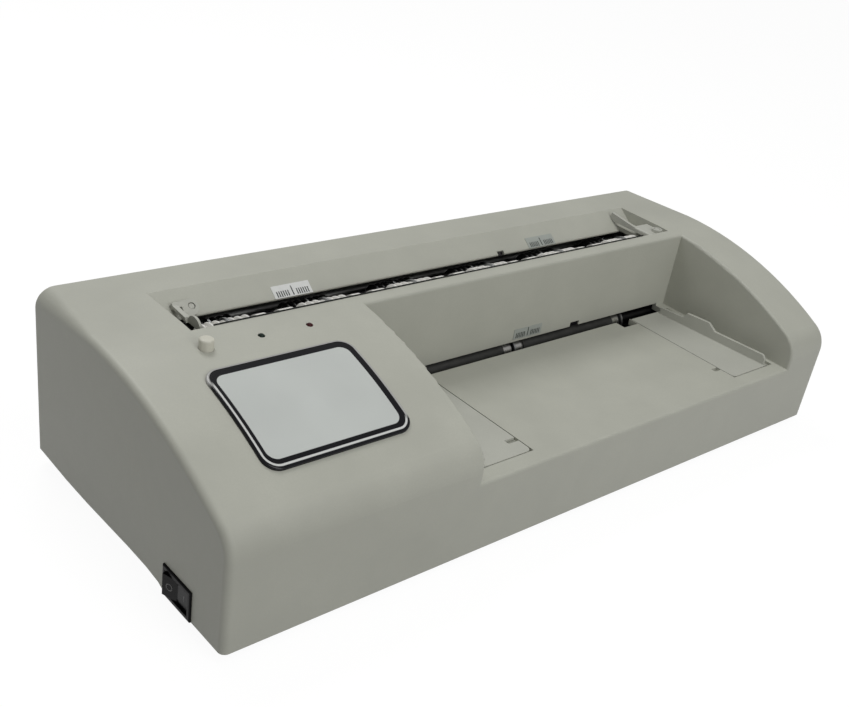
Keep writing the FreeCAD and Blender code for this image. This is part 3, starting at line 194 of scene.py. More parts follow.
class Surface(Graph):
    """One material's node tree, with a Principled shader at its end."""

    def __init__(self, name: str) -> None:
        """Starts an empty material.

        Args:
            name: The material's name.
        """
        self.material = bpy.data.materials.new(name)
        self.material.use_nodes = True
        super().__init__(self.material.node_tree)
        self.shader = self.tree.nodes.new("ShaderNodeBsdfPrincipled")
        self.out = self.tree.nodes.new("ShaderNodeOutputMaterial")
        self.tree.links.new(self.shader.outputs[0], self.out.inputs["Surface"])

    def place(self) -> Wire:
        """Coordinates that stay with the piece, in metres."""
        return self.node("TexCoord", output="Object")

    def axes(self) -> tuple[Wire, Wire, Wire]:
        """The three coordinates as separate numbers."""
        split = self.node("SeparateXYZ", None, {0: self.place()})
        x, y, z = (Wire(self.tree, out) for out in split.socket.node.outputs)
        return x, y, z

    def stretched(self, stretch: tuple[float, float, float]) -> Wire:
        """The piece's coordinates, scaled along each axis."""
        return self.node(
            "VectorMath", {"operation": "MULTIPLY"}, {0: self.place(), 1: stretch}
        )

    def noise(
        self,
        size: float,
        detail: float = 2.0,
        roughness: float = 0.5,
        stretch: tuple[float, float, float] = (1.0, 1.0, 1.0),
    ) -> Wire:
        """Smooth noise from 0 to 1.

        Args:
            size: The size of its patches, in metres.
            detail: How many finer layers it has.
            roughness: How strong those layers are.
            stretch: Factors on the coordinates.

        Returns:
            The noise.
        """
        inputs: Inputs = {
            "Vector": self.stretched(stretch),
            "Scale": 1.0 / size,
            "Detail": detail,
            "Roughness": roughness,
        }
        return self.node("TexNoise", {"noise_dimensions": "3D"}, inputs)

    def ramp(self, value: Wire, low: float, high: float) -> Wire:
        """A number taken from low..high to 0..1, held at both ends."""
        inputs: Inputs = {
            "Value": value,
            "From Min": low,
            "From Max": high,
            "To Min": 0.0,
            "To Max": 1.0,
        }
        return self.node("MapRange", {"clamp": True}, inputs)

    def mix(self, factor: Operand, one: Operand, other: Operand) -> Wire:
        """A colour between two colours."""
        inputs: Inputs = {0: factor, MIX_ONE: one, MIX_OTHER: other}
        return self.node("Mix", {"data_type": "RGBA"}, inputs, MIX_RESULT)

    def shaded(self, mask: Operand, colour: Colour, dark: float, light: float) -> Wire:
        """A colour that goes from one factor of itself to another as a mask goes from 0 to 1."""
        return self.mix(mask, tinted(colour, dark), tinted(colour, light))

    def edges(self, radius: float) -> Wire:
        """How near a sharp edge lies, from 0 on the flat to 1 on the edge."""
        rounded = self.rounded(radius)
        true = self.node("NewGeometry", output="Normal")
        same = self.node("VectorMath", {"operation": "DOT_PRODUCT"}, {0: rounded, 1: true}, "Value")
        return self.ramp(1.0 - same, 0.0, EDGE_BEND)

    def relief(
        self, height: Wire, depth: float, strength: float, under: Wire | None = None
    ) -> Wire:
        """A normal bent by a height from 0 to 1.

        Args:
            height: The height.
            depth: What 1 stands for, in metres.
            strength: The bump's strength.
            under: A normal to start from.

        Returns:
            The bent normal.
        """
        inputs: Inputs = {"Height": height, "Distance": depth, "Strength": strength}
        if under is not None:
            inputs["Normal"] = under
        return self.node("Bump", None, inputs)

    def rounded(self, radius: float) -> Wire:
        """A normal that rounds sharp edges by a small radius."""
        return self.node("Bevel", {"samples": EDGE_SAMPLES}, {"Radius": radius})

    def set(self, **values: Operand) -> None:
        """Sets the Principled shader's sockets, with _ for a space."""
        for key, value in values.items():
            plug(self.tree, self.shader.inputs[key.replace("_", " ")], value)


# --- Finishes ---


def tinted(colour: Colour, factor: float) -> Colour:
    """A colour made lighter or darker by a factor."""
    return (colour[0] * factor, colour[1] * factor, colour[2] * factor)


@dataclass(frozen=True)
class MouldedPlastic:
    """Moulded plastic with a spark-eroded grain, light mottling and rubbed edges."""

    name: str
    colour: Colour
    roughness: float = 0.5
    grain: float = 0.45 * MM
    grain_depth: float = 0.03 * MM
    mottle: float = 0.05
    rubbed: float = 0.10
    edge_radius: float = 0.35 * MM

    def material(self) -> bpy.types.Material:
        """Builds the material."""
        s = Surface(self.name)
        cloud = s.noise(38 * MM, 3.0, 0.6)
        speck = s.noise(0.9 * MM, 2.0, 0.7)
        edge = s.edges(self.edge_radius * 1.6)
        scuff = s.noise(5 * MM, 4.0, 0.7)
        shade = s.ramp(cloud, 0.3, 0.7)
        base = s.shaded(shade, self.colour, 1 - self.mottle, 1 + self.mottle)
        fine = s.mix(s.ramp(speck, 0.35, 0.65) * 0.35, base, tinted(self.colour, 0.93))
        rub = edge * s.ramp(scuff, 0.35, 0.7) * self.rubbed * 3.0
        grain = s.noise(self.grain, 1.5, 0.5)
        satin = self.roughness - 0.05 + s.ramp(cloud, 0.25, 0.75) * 0.06
        s.set(
            Base_Color=s.mix(rub, fine, tinted(self.colour, 1.28)),
            Roughness=satin + s.ramp(scuff, 0.3, 0.8) * 0.05,
            Normal=s.relief(grain, self.grain_depth, 0.6, s.rounded(self.edge_radius)),
            IOR=1.5,
        )
        return s.material


@dataclass(frozen=True)
class GlossPlastic:
    """Polished plastic with faint orange peel and fine hairline scratches."""

    name: str
    colour: Colour
    roughness: float = 0.18
    coat: float = 0.4
    specular: float = 0.5
    edge_radius: float = 0.3 * MM

    def material(self) -> bpy.types.Material:
        """Builds the material."""
        s = Surface(self.name)
        cloud = s.noise(14 * MM, 2.0, 0.5)
        hair = s.noise(1.2 * MM, 3.0, 0.8, (1.0, 14.0, 1.0))
        lines = s.ramp(hair, 0.62, 0.74)
        colour = s.shaded(s.ramp(cloud, 0.3, 0.7), self.colour, 0.9, 1.12)
        s.set(
            Base_Color=colour,
            Roughness=self.roughness + lines * 0.12 + s.ramp(cloud, 0.3, 0.8) * 0.06,
            Normal=s.relief(cloud, 0.05 * MM, 0.25, s.rounded(self.edge_radius)),
            Specular_IOR_Level=self.specular,
            Coat_Weight=self.coat,
            Coat_Roughness=0.06,
        )
        return s.material


@dataclass(frozen=True)
class BadgeFinish:
    """A clear-coated plate: a pale field in a dark border, with a painted highlight line along its
    front and left edges.
    """

    name: str
    field_colour: Colour
    border_colour: Colour
    # Painted highlight colour: a bright line standing in for the lamps' reflection in the domed rim.
    painted_highlight_colour: Colour
    rim_colour: Colour
    low: Pair
    high: Pair
    corner: float
    field_corner: float = 4.5 * MM
    margin_low: Pair = (3.4 * MM, 3.9 * MM)
    margin_high: Pair = (4.3 * MM, 4.9 * MM)
    highlight_start: float = 0.95 * MM
    highlight_end: float = 2.05 * MM
    rim_width: float = 1.5 * MM
    soft: float = 0.2 * MM
    highlight_front: Pair = (4.5 * MM, 6.5 * MM)
    highlight_left: Pair = (3.5 * MM, 5.5 * MM)
    highlight_short_of_rear: Pair = (7.0 * MM, 10.0 * MM)

    def material(self) -> bpy.types.Material:
        """Builds the material, with its bands worked out from the plate's outline."""
        s = Surface(self.name)
        x, y, _ = s.axes()
        field_low = (self.low[0] + self.margin_low[0], self.low[1] + self.margin_low[1])
        field_high = (self.high[0] - self.margin_high[0], self.high[1] - self.margin_high[1])
        inset = self._inset(x, y, self.low, self.high, self.corner)
        field_inset = self._inset(x, y, field_low, field_high, self.field_corner)
        on_field = s.ramp(field_inset, 0.0, self.soft)
        after_start = s.ramp(inset, self.highlight_start, self.highlight_start + self.soft)
        before_end = 1.0 - s.ramp(inset, self.highlight_end - self.soft, self.highlight_end)
        # Painted highlight: a bright line in the base colour along the front and left edges, where the
        # domed rim would reflect the lamps.
        painted_highlight_mask = self._painted_highlight_edges(s, x, y)
        on_painted_highlight = after_start * before_end * painted_highlight_mask
        past_rim = s.ramp(inset, self.rim_width - self.soft, self.rim_width)
        on_rim = (1.0 - past_rim) * (1.0 - painted_highlight_mask)
        cloud = s.noise(30 * MM, 2.0, 0.5)
        print_dots = s.noise(0.35 * MM, 1.0, 0.5)
        pale = s.shaded(s.ramp(cloud, 0.3, 0.7), self.field_colour, 0.97, 1.03)
        pale = s.mix(s.ramp(print_dots, 0.55, 0.75) * 0.12, pale, tinted(self.field_colour, 0.9))
        border = s.mix(on_painted_highlight, self.border_colour, self.painted_highlight_colour)
        border = s.mix(on_rim, border, self.rim_colour)
        s.set(
            Base_Color=s.mix(on_field, border, pale),
            Roughness=0.18 + s.ramp(cloud, 0.3, 0.7) * 0.08,
            Normal=s.relief(s.noise(9 * MM, 1.0, 0.4), 0.05 * MM, 0.3),
            Specular_IOR_Level=0.2,
            Coat_Weight=0.2,
            Coat_Roughness=0.06,
        )
        return s.material

    def _painted_highlight_edges(self, s: Surface, x: Wire, y: Wire) -> Wire:
        """Where the painted highlight line goes: 1 along the front and left edges, 0 along the others.
        """
        at_front = 1.0 - s.ramp(y - self.low[1], *self.highlight_front)
        at_left = 1.0 - s.ramp(x - self.low[0], *self.highlight_left)
        short_of_rear = s.ramp(self.high[1] - y, *self.highlight_short_of_rear)
        return at_front.high(at_left * short_of_rear)

    @staticmethod
    def _inset(x: Wire, y: Wire, low: Pair, high: Pair, corner: float) -> Wire:
        """Distance in from a round-cornered outline, in plan."""
        half_x = (high[0] - low[0]) / 2
        half_y = (high[1] - low[1]) / 2
        past_x = abs(x - (high[0] + low[0]) / 2) - (half_x - corner)
        past_y = abs(y - (high[1] + low[1]) / 2) - (half_y - corner)
        far = (past_x.high(0.0) ** 2.0 + past_y.high(0.0) ** 2.0) ** 0.5
        near = past_x.high(past_y).low(0.0)
        return corner - far - near


class Lay(Enum):
    """Which way a metal's tool marks run, as factors on the coordinates."""

    ALONG_X = (0.04, 1.0, 1.0)
    ROUND_X = (1.0, 0.05, 0.05)
    ALONG_Z = (1.0, 1.0, 0.04)
    NONE = (1.0, 1.0, 1.0)


@dataclass(frozen=True)
class BareMetal:
    """Steel or brass with directional tool marks, tarnish and bright edges."""

    name: str
    colour: Colour
    roughness: float = 0.32
    lay: Lay = Lay.NONE
    tarnish: float = 0.25
    mark_size: float = 0.25 * MM
    mark_depth: float = 0.012 * MM
    metallic: float = 1.0

    def material(self) -> bpy.types.Material:
        """Builds the material."""
        s = Surface(self.name)
        marks = s.noise(self.mark_size, 2.0, 0.6, self.lay.value)
        cloud = s.noise(12 * MM, 3.0, 0.6)
        edge = s.edges(0.4 * MM)
        dull = s.ramp(cloud, 0.35, 0.75)
        base = s.mix(dull * self.tarnish, self.colour, tinted(self.colour, 0.55))
        bright = s.mix(edge * 0.5, base, tinted(self.colour, 1.25))
        s.set(
            Base_Color=s.mix(s.ramp(marks, 0.3, 0.7) * 0.18, bright, tinted(self.colour, 0.7)),
            Metallic=self.metallic,
            Roughness=self.roughness - 0.05 + s.ramp(marks, 0.25, 0.75) * 0.14 + dull * 0.10,
            Normal=s.relief(marks, self.mark_depth, 0.5, s.rounded(0.15 * MM)),
        )
        return s.material


@dataclass(frozen=True)
class ZincSheet:
    """Galvanised or plated sheet with a soft spangle and handling marks."""

    name: str
    colour: Colour
    spangle: float = 7 * MM

    def material(self) -> bpy.types.Material:
        """Builds the material."""
        s = Surface(self.name)
        where: Inputs = {"Vector": s.place(), "Scale": 1 / self.spangle}
        cells = s.node("TexVoronoi", {"feature": "F1"}, where, "Color")
        tone = s.node("RGBToBW", None, {0: cells})
        smear = s.noise(16 * MM, 4.0, 0.65)
        colour = s.shaded(tone * 0.5, self.colour, 0.82, 1.15)
        s.set(
            Base_Color=s.mix(s.ramp(smear, 0.45, 0.8) * 0.35, colour, tinted(self.colour, 0.6)),
            Metallic=0.9,
            Roughness=0.34 + tone * 0.12 + s.ramp(smear, 0.4, 0.8) * 0.12,
            Normal=s.relief(s.noise(0.8 * MM, 2.0, 0.5), 0.01 * MM, 0.5, s.rounded(0.2 * MM)),
        )
        return s.material


@dataclass(frozen=True)
class PaintedMetal:
    """Stoved paint with orange peel, dust and bare metal at rubbed edges."""

    name: str
    colour: Colour
    roughness: float = 0.45

    def material(self) -> bpy.types.Material:
        """Builds the material."""
        s = Surface(self.name)
        peel = s.noise(1.1 * MM, 2.0, 0.5)
        cloud = s.noise(20 * MM, 3.0, 0.6)
        chip = s.edges(0.5 * MM) * s.ramp(s.noise(2.5 * MM, 3.0, 0.7), 0.45, 0.6)
        paint = s.shaded(s.ramp(cloud, 0.3, 0.7), self.colour, 0.88, 1.12)
        s.set(
            Base_Color=s.mix(chip, paint, (0.36, 0.36, 0.36)),
            Metallic=chip * 0.8,
            Roughness=self.roughness + s.ramp(cloud, 0.3, 0.8) * 0.1,
            Normal=s.relief(peel, 0.03 * MM, 0.5, s.rounded(0.3 * MM)),
        )
        return s.material


@dataclass(frozen=True)
class Rubber:
    """Ground rubber, matt, with a fine knurl round X and paper dust in it."""

    name: str
    colour: Colour
    dust_colour: Colour
    dust: float = 0.25
    knurl: float = 0.7 * MM
    knurl_depth: float = 0.05 * MM
    roughness: float = 0.62

    def material(self) -> bpy.types.Material:
        """Builds the material."""
        s = Surface(self.name)
        x, _, _ = s.axes()
        wave = x.math("SINE", x * (2 * math.pi / self.knurl))
        pores = s.noise(0.5 * MM, 3.0, 0.7)
        skin = wave * 0.35 + pores * 0.65
        powder = s.ramp(s.noise(6 * MM, 4.0, 0.7), 0.4, 0.8)
        colour = s.shaded(s.ramp(pores, 0.3, 0.7), self.colour, 0.8, 1.2)
        s.set(
            Base_Color=s.mix(powder * self.dust, colour, self.dust_colour),
            Roughness=self.roughness + powder * 0.12 + s.ramp(pores, 0.3, 0.7) * 0.08,
            Normal=s.relief(skin, self.knurl_depth, 0.7, s.rounded(0.25 * MM)),
        )
        return s.material


@dataclass(frozen=True)
class Winding:
    """Taped copper winding: bands of tape with the turns showing through."""

    name: str
    tape_colour: Colour
    copper_colour: Colour
    turn: float = 0.9 * MM

    def material(self) -> bpy.types.Material:
        """Builds the material."""
        s = Surface(self.name)
        _, _, z = s.axes()
        turns = z.math("SINE", z * (2 * math.pi / self.turn)) * 0.5 + 0.5
        lap = s.ramp(z.math("SINE", z * (2 * math.pi / (11 * MM))), 0.2, 0.5)
        cloud = s.noise(8 * MM, 3.0, 0.6)
        tape = s.mix(s.ramp(cloud, 0.3, 0.7), tinted(self.tape_colour, 0.8), self.tape_colour)
        s.set(
            Base_Color=s.mix(turns * 0.4 * lap, tape, self.copper_colour),
            Roughness=0.3 + s.ramp(cloud, 0.3, 0.8) * 0.2,
            Normal=s.relief(turns * 0.6 + lap * 0.4, 0.12 * MM, 0.6, s.rounded(0.3 * MM)),
            Coat_Weight=0.2,
        )
        return s.material


@dataclass(frozen=True)
class Laminations:
    """A stack of thin varnished sheets, seen on edge."""

    name: str
    colour: Colour
    sheet: float = 0.5 * MM

    def material(self) -> bpy.types.Material:
        """Builds the material."""
        s = Surface(self.name)
        _, y, _ = s.axes()
        stack = y.math("SINE", y * (2 * math.pi / self.sheet)) * 0.5 + 0.5
        drips = s.ramp(s.noise(7 * MM, 4.0, 0.7, (1.0, 1.0, 0.3)), 0.4, 0.75)
        colour = s.shaded(stack * 0.6, self.colour, 0.6, 1.5)
        s.set(
            Base_Color=s.mix(drips * 0.5, colour, (0.10, 0.06, 0.03)),
            Metallic=0.5 - drips * 0.3,
            Roughness=0.35 + stack * 0.2,
            Normal=s.relief(stack, 0.08 * MM, 0.6, s.rounded(0.2 * MM)),
        )
        return s.material


@dataclass(frozen=True)
class CircuitBoard:
    """Solder mask over copper tracks, with bright pads."""

    name: str
    mask_colour: Colour
    pitch: float = 2.54 * MM

    def material(self) -> bpy.types.Material:
        """Builds the material."""
        s = Surface(self.name)
        where: Inputs = {"Vector": s.place(), "Scale": 1 / (self.pitch * 2.2)}
        tracks = s.node("TexVoronoi", {"feature": "DISTANCE_TO_EDGE"}, where, "Distance")
        lines = 1.0 - s.ramp(tracks, 0.04, 0.07)
        x, y, _ = s.axes()
        grid_x = abs(x.math("SINE", x * (math.pi / self.pitch)))
        grid_y = abs(y.math("SINE", y * (math.pi / self.pitch)))
        pads = (grid_x * grid_y) > 0.93
        sparse = s.noise(9 * MM, 1.0, 0.5) > 0.52
        mask = s.mix(lines, self.mask_colour, tinted(self.mask_colour, 1.9))
        s.set(
            Base_Color=s.mix(pads * sparse, mask, (0.62, 0.60, 0.55)),
            Metallic=pads * sparse * 0.9,
            Roughness=0.28 + s.noise(5 * MM) * 0.12,
            Normal=s.relief(lines + pads * sparse, 0.04 * MM, 0.6, s.rounded(0.1 * MM)),
            Coat_Weight=0.3,
        )
        return s.material


@dataclass(frozen=True)
class ComponentMix:
    """Moulded cases of several colours, one to each component."""

    name: str
    dark: Colour
    blue: Colour
    green: Colour

    def material(self) -> bpy.types.Material:
        """Builds the material."""
        s = Surface(self.name)
        lot = s.node("NewGeometry", output="Random Per Island")
        grain = s.noise(0.6 * MM, 2.0, 0.5)
        first = s.mix(lot > 0.4, self.dark, self.blue)
        colour = s.mix(lot > 0.72, first, self.green)
        s.set(
            Base_Color=s.mix(s.ramp(grain, 0.3, 0.7) * 0.2, colour, self.dark),
            Roughness=0.3 + s.ramp(grain, 0.3, 0.7) * 0.15,
            Normal=s.relief(grain, 0.03 * MM, 0.4, s.rounded(0.4 * MM)),
        )
        return s.material


@dataclass(frozen=True)
class Lens:
    """A small tinted lamp lens, unlit."""

    name: str
    colour: Colour

    def material(self) -> bpy.types.Material:
        """Builds the material."""
        s = Surface(self.name)
        swirl = s.noise(1.2 * MM, 2.0, 0.5)
        s.set(
            Base_Color=s.shaded(s.ramp(swirl, 0.3, 0.7), self.colour, 0.7, 1.3),
            Roughness=0.4 + s.ramp(swirl, 0.4, 0.8) * 0.08,
            Normal=s.relief(swirl, 0.02 * MM, 0.3),
            Specular_IOR_Level=0.2,
        )
        return s.material


@dataclass(frozen=True)
class LabelFilm:
    """A thin printed film: opaque white on the left label, nearly clear on the others."""

    name: str
    white: Colour
    clear: Colour
    white_until: float

    def material(self) -> bpy.types.Material:
        """Builds the material."""
        s = Surface(self.name)
        x, _, _ = s.axes()
        haze = s.noise(3 * MM, 3.0, 0.6)
        is_clear = x > self.white_until
        paper = s.mix(s.ramp(haze, 0.3, 0.7), tinted(self.white, 0.94), self.white)
        film = s.mix(s.ramp(haze, 0.3, 0.7), tinted(self.clear, 0.92), self.clear)
        s.set(
            Base_Color=s.mix(is_clear, paper, film),
            Roughness=0.3 + s.ramp(haze, 0.3, 0.7) * 0.15,
            Normal=s.relief(haze, 0.02 * MM, 0.4),
            Coat_Weight=0.25,
        )
        return s.material


# --- Mesh helpers ---


def dress(finish: Any, *nodes: str) -> None:
    """Gives CAD nodes a finish.

    Args:
        finish: A finish with a material method.
        *nodes: The nodes' names.
    """
    material = finish.material()
    for name in nodes:
        for slot in frame["nodes"][name].material_slots:
            slot.link = "OBJECT"
            slot.material = material
    LOG.info("%s on %s", finish.name, ", ".join(nodes))


def joint_place(name: str) -> tuple[float, float, float]:
    """Where a joint's axis passes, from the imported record."""
    joint = next(j for j in frame["joints"] if j["name"] == name)
    return tuple(joint["pos_m"])


def new_piece(name: str, mesh: bmesh.types.BMesh, material: bpy.types.Material, body: str) -> None:
    """Makes an object from a bmesh and lets it ride on a body.

    Args:
        name: The object's name.
        mesh: Its geometry, in metres in the shared frame.
        material: Its material.
        body: The body that carries it.
    """
    data = bpy.data.meshes.new(name)
    mesh.to_mesh(data)
    mesh.free()
    piece = bpy.data.objects.new(name, data)
    piece.data.materials.append(material)
    bpy.context.scene.collection.objects.link(piece)
    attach(piece, body)
    LOG.info("piece %s rides on %s", name, body)


def add_block(mesh: bmesh.types.BMesh, matrix: Matrix, size: tuple[float, float, float]) -> None:
    """Adds a block of a size, centred on a matrix's origin."""
    scale = Matrix.Diagonal((*size, 1.0))
    bmesh.ops.create_cube(mesh, size=1.0, matrix=matrix @ scale)


def add_run(mesh: bmesh.types.BMesh, profile: Sequence[Pair], ends: Pair) -> None:
    """Adds a run of one section along X, closed at both ends.

    Args:
        mesh: The mesh to add to.
        profile: The section's corners as (Y, Z), in order.
        ends: The X of its two ends.
    """
    rings = [[mesh.verts.new((x, y, z)) for y, z in profile] for x in ends]
    for index in range(len(profile)):
        after = (index + 1) % len(profile)
        mesh.faces.new((rings[0][index], rings[0][after], rings[1][after], rings[1][index]))
    mesh.faces.new(list(reversed(rings[0])))
    mesh.faces.new(rings[1])
    bmesh.ops.recalc_face_normals(mesh, faces=mesh.faces[:])


# --- Sub-assemblies ---


@dataclass
class Shell:
    """The case with its badge, button, lamps and scales."""

    case_colour: Colour = (0.44, 0.445, 0.392)
    button_colour: Colour = (0.62, 0.61, 0.53)
    green_lens: Colour = (0.008, 0.018, 0.013)
    red_lens: Colour = (0.05, 0.006, 0.008)
    badge_field: Colour = (0.54, 0.565, 0.55)
    badge_border: Colour = (0.004, 0.004, 0.006)
    # Painted highlight: the bright line on the badge's front and left edges.
    badge_painted_highlight: Colour = (0.62, 0.63, 0.62)
    badge_rim: Colour = (0.40, 0.40, 0.39)
    label_white: Colour = (0.70, 0.71, 0.70)
    label_clear: Colour = (0.36, 0.385, 0.36)
    ink_colour: Colour = (0.012, 0.016, 0.018)
    # Near black for the slot strip, which is painted shadow along the slot's front edge.
    shadow_strip_colour: Colour = (0.004, 0.004, 0.004)
    strip_dust: Colour = (0.05, 0.05, 0.05)
    badge_corner: float = 7.5 * MM
    tick_gap: float = 1.25 * MM
    ticks_each_side: int = 7
    tick_width: float = 0.6 * MM
    tick_height: float = 3.1 * MM
    centre_tick_height: float = 5.0 * MM
    tick_foot: float = 0.55 * MM
    tick_lift: float = 0.06 * MM
    label_play: float = 0.01 * MM
    strip_front: float = 20.02 * MM
    strip_thickness: float = 0.4 * MM
    strip_height: float = 4.0 * MM
    strip_proud: float = 0.3 * MM
    strip_ends: Pair = (-148.0 * MM, 139.0 * MM)
    lip_steps: int = 8

    def dress(self) -> None:
        """Gives the shell's nodes their finishes."""
        dress(MouldedPlastic("case_satin", self.case_colour), "case")
        cap = MouldedPlastic("button_cream", self.button_colour, 0.38, grain_depth=0.008 * MM)
        dress(cap, "start_button")
        dress(Lens("lamp_green_lens", self.green_lens), "green_lamp")
        dress(Lens("lamp_red_lens", self.red_lens), "red_lamp")
        low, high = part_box("badge")
        dress(
            BadgeFinish(
                "badge_clear_coat",
                self.badge_field,
                self.badge_border,
                self.badge_painted_highlight,
                self.badge_rim,
                (low.x, low.y),
                (high.x, high.y),
                self.badge_corner,
            ),
            "badge",
        )
        # The slot strip is painted shadow: a black piece along the slot's front edge.
        self.add_slot_shadow_strip()
        dress(LabelFilm("label_film", self.label_white, self.label_clear, 0.0), "scale_labels")
        self.add_scales()

    def add_slot_shadow_strip(self) -> None:
        """Adds a thin black strip along the upper slot's front edge, with a rolled lip: painted shadow
        standing in for the dark gap between the slot's edge and the wheels.
        """
        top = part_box("case")[1].z + self.strip_proud
        front = self.strip_front
        rear = front + self.strip_thickness
        lip = self.strip_thickness / 2
        foot = top - self.strip_height
        profile = [(front, foot), (rear, foot), (rear, top - lip)]
        for step in range(1, self.lip_steps):
            angle = math.pi * step / self.lip_steps
            profile.append((front + lip + lip * math.cos(angle), top - lip + lip * math.sin(angle)))
        profile.append((front, top - lip))
        mesh = bmesh.new()
        add_run(mesh, profile, self.strip_ends)
        grain = (2.0 * MM, 0.01 * MM)
        rubber = Rubber("strip_painted_shadow", self.shadow_strip_colour, self.strip_dust, 0.05, *grain)
        new_piece("slot_shadow_strip", mesh, rubber.material(), "chassis")

    def label_faces(self) -> list[tuple[float, float, Vector, Vector]]:
        """Finds each label's outer face.

        Returns:
            For each label its left and right X, and a point on its face's lower and upper edge.
        """
        mesh = frame["nodes"]["scale_labels"].data
        xs = sorted({round(v.co.x, 5) for v in mesh.vertices})
        faces = []
        for left, right in zip(xs[0::2], xs[1::2]):
            low = left - self.label_play
            high = right + self.label_play
            corners = [v.co for v in mesh.vertices if low <= v.co.x <= high]
            bottom = min(c.z for c in corners)
            top = max(c.z for c in corners)
            middle = (bottom + top) / 2
            foot = min((c for c in corners if c.z < middle), key=lambda c: c.y)
            head = min((c for c in corners if c.z > middle), key=lambda c: c.y)
            faces.append((left, right, foot.copy(), head.copy()))
        return faces

    def add_scales(self) -> None:
        """Prints a scale on each label: a long centre line, a gap, and ticks on both sides."""
        mesh = bmesh.new()
        along = Vector((1.0, 0.0, 0.0))
        for left, right, foot, head in self.label_faces():
            up = Vector((0.0, head.y - foot.y, head.z - foot.z)).normalized()
            out = along.cross(up)
            turn = Matrix((along, out, up)).transposed().to_4x4()
            centre = (left + right) / 2
            for index in range(-self.ticks_each_side, self.ticks_each_side + 1):
                if abs(index) == 1:
                    continue
                tall = self.centre_tick_height if index == 0 else self.tick_height
                base = Vector((centre + index * self.tick_gap, foot.y, foot.z))
                base += up * (self.tick_foot + tall / 2)
                place = Matrix.Translation(base + out * -self.tick_lift * 0.5) @ turn
                add_block(mesh, place, (self.tick_width, self.tick_lift, tall))
        ink = GlossPlastic("scale_ink", self.ink_colour, roughness=0.5, coat=0.0, specular=0.1)
        new_piece("scale_ticks", mesh, ink.material(), "chassis")


@dataclass
class Switch:
    """The mains switch on the left side, with its ON and OFF marks."""

    axis: Vector = field(default_factory=lambda: Vector(joint_place("switch_rock")))
    rest_tilt: float = math.radians(9.0)
    mark_radius: float = 1.5 * MM
    mark_width: float = 0.45 * MM
    mark_lift: float = 0.03 * MM
    mark_out: float = 4.6 * MM
    ring_blocks: int = 24
    ring_overlap: float = 1.1
    body_colour: Colour = (0.004, 0.004, 0.0045)
    rocker_colour: Colour = (0.003, 0.003, 0.0035)
    mark_colour: Colour = (0.15, 0.15, 0.15)
    valley: float = 1.2 * MM
    rise: float = 1.8 * MM
    run: float = 12.0 * MM

    def dress(self) -> None:
        """Gives the switch its finishes and marks."""
        dress(GlossPlastic("switch_black", self.body_colour, 0.35, 0.0, 0.08), "power_switch_body")
        dress(GlossPlastic("rocker_black", self.rocker_colour, 0.25, 0.0, 0.1), "power_switch_rocker")
        self.add_marks()

    def add_marks(self) -> None:
        """Adds the ring at the rear half and the bar at the front half of the rocker."""
        mesh = bmesh.new()
        slope = math.atan2(self.rise, self.run)
        out = self.valley + self.mark_out * math.tan(slope)
        rocker = Matrix.Translation(self.axis) @ Matrix.Rotation(self.rest_tilt, 4, "Z")
        for side in (1.0, -1.0):
            shift = Matrix.Translation((-out, side * self.mark_out, 0.0))
            place = rocker @ (shift @ Matrix.Rotation(side * slope, 4, "Z"))
            if side > 0:
                self._ring(mesh, place)
            else:
                add_block(mesh, place, (self.mark_lift * 2, self.mark_width, self.mark_radius * 2))
        ink = MouldedPlastic("mark_white", self.mark_colour, rubbed=0.0, mottle=0.1)
        new_piece("rocker_marks", mesh, ink.material(), "switch_rocker")

    def _ring(self, mesh: bmesh.types.BMesh, place: Matrix) -> None:
        """Adds a flat ring of short blocks, facing out of the rocker."""
        length = 2 * math.pi * self.mark_radius / self.ring_blocks * self.ring_overlap
        for index in range(self.ring_blocks):
            turn = Matrix.Rotation(2 * math.pi * index / self.ring_blocks, 4, "X")
            block = place @ turn @ Matrix.Translation((0.0, self.mark_radius, 0.0))
            add_block(mesh, block, (self.mark_lift * 2, self.mark_width, length))


@dataclass
class Guides:
    """The four paper guides and what locks them."""

    colour: Colour = (0.45, 0.455, 0.41)
    nut_colour: Colour = (0.62, 0.61, 0.55)

    def dress(self) -> None:
        """Gives the guides their finishes."""
        dress(
            MouldedPlastic("guide_satin", self.colour, 0.42, grain_depth=0.012 * MM),
            "left_lower_guide",
            "right_lower_guide",
            "left_upper_guide",
            "right_upper_guide",
        )
        dress(
            MouldedPlastic("guide_screw_nylon", self.colour, 0.38, grain_depth=0.006 * MM),
            "left_upper_guide_screw",
            "right_upper_guide_screw",
        )
        dress(
            MouldedPlastic("guide_nut_nylon", self.nut_colour, 0.45),
            "left_lower_guide_nuts",
            "right_lower_guide_nuts",
        )


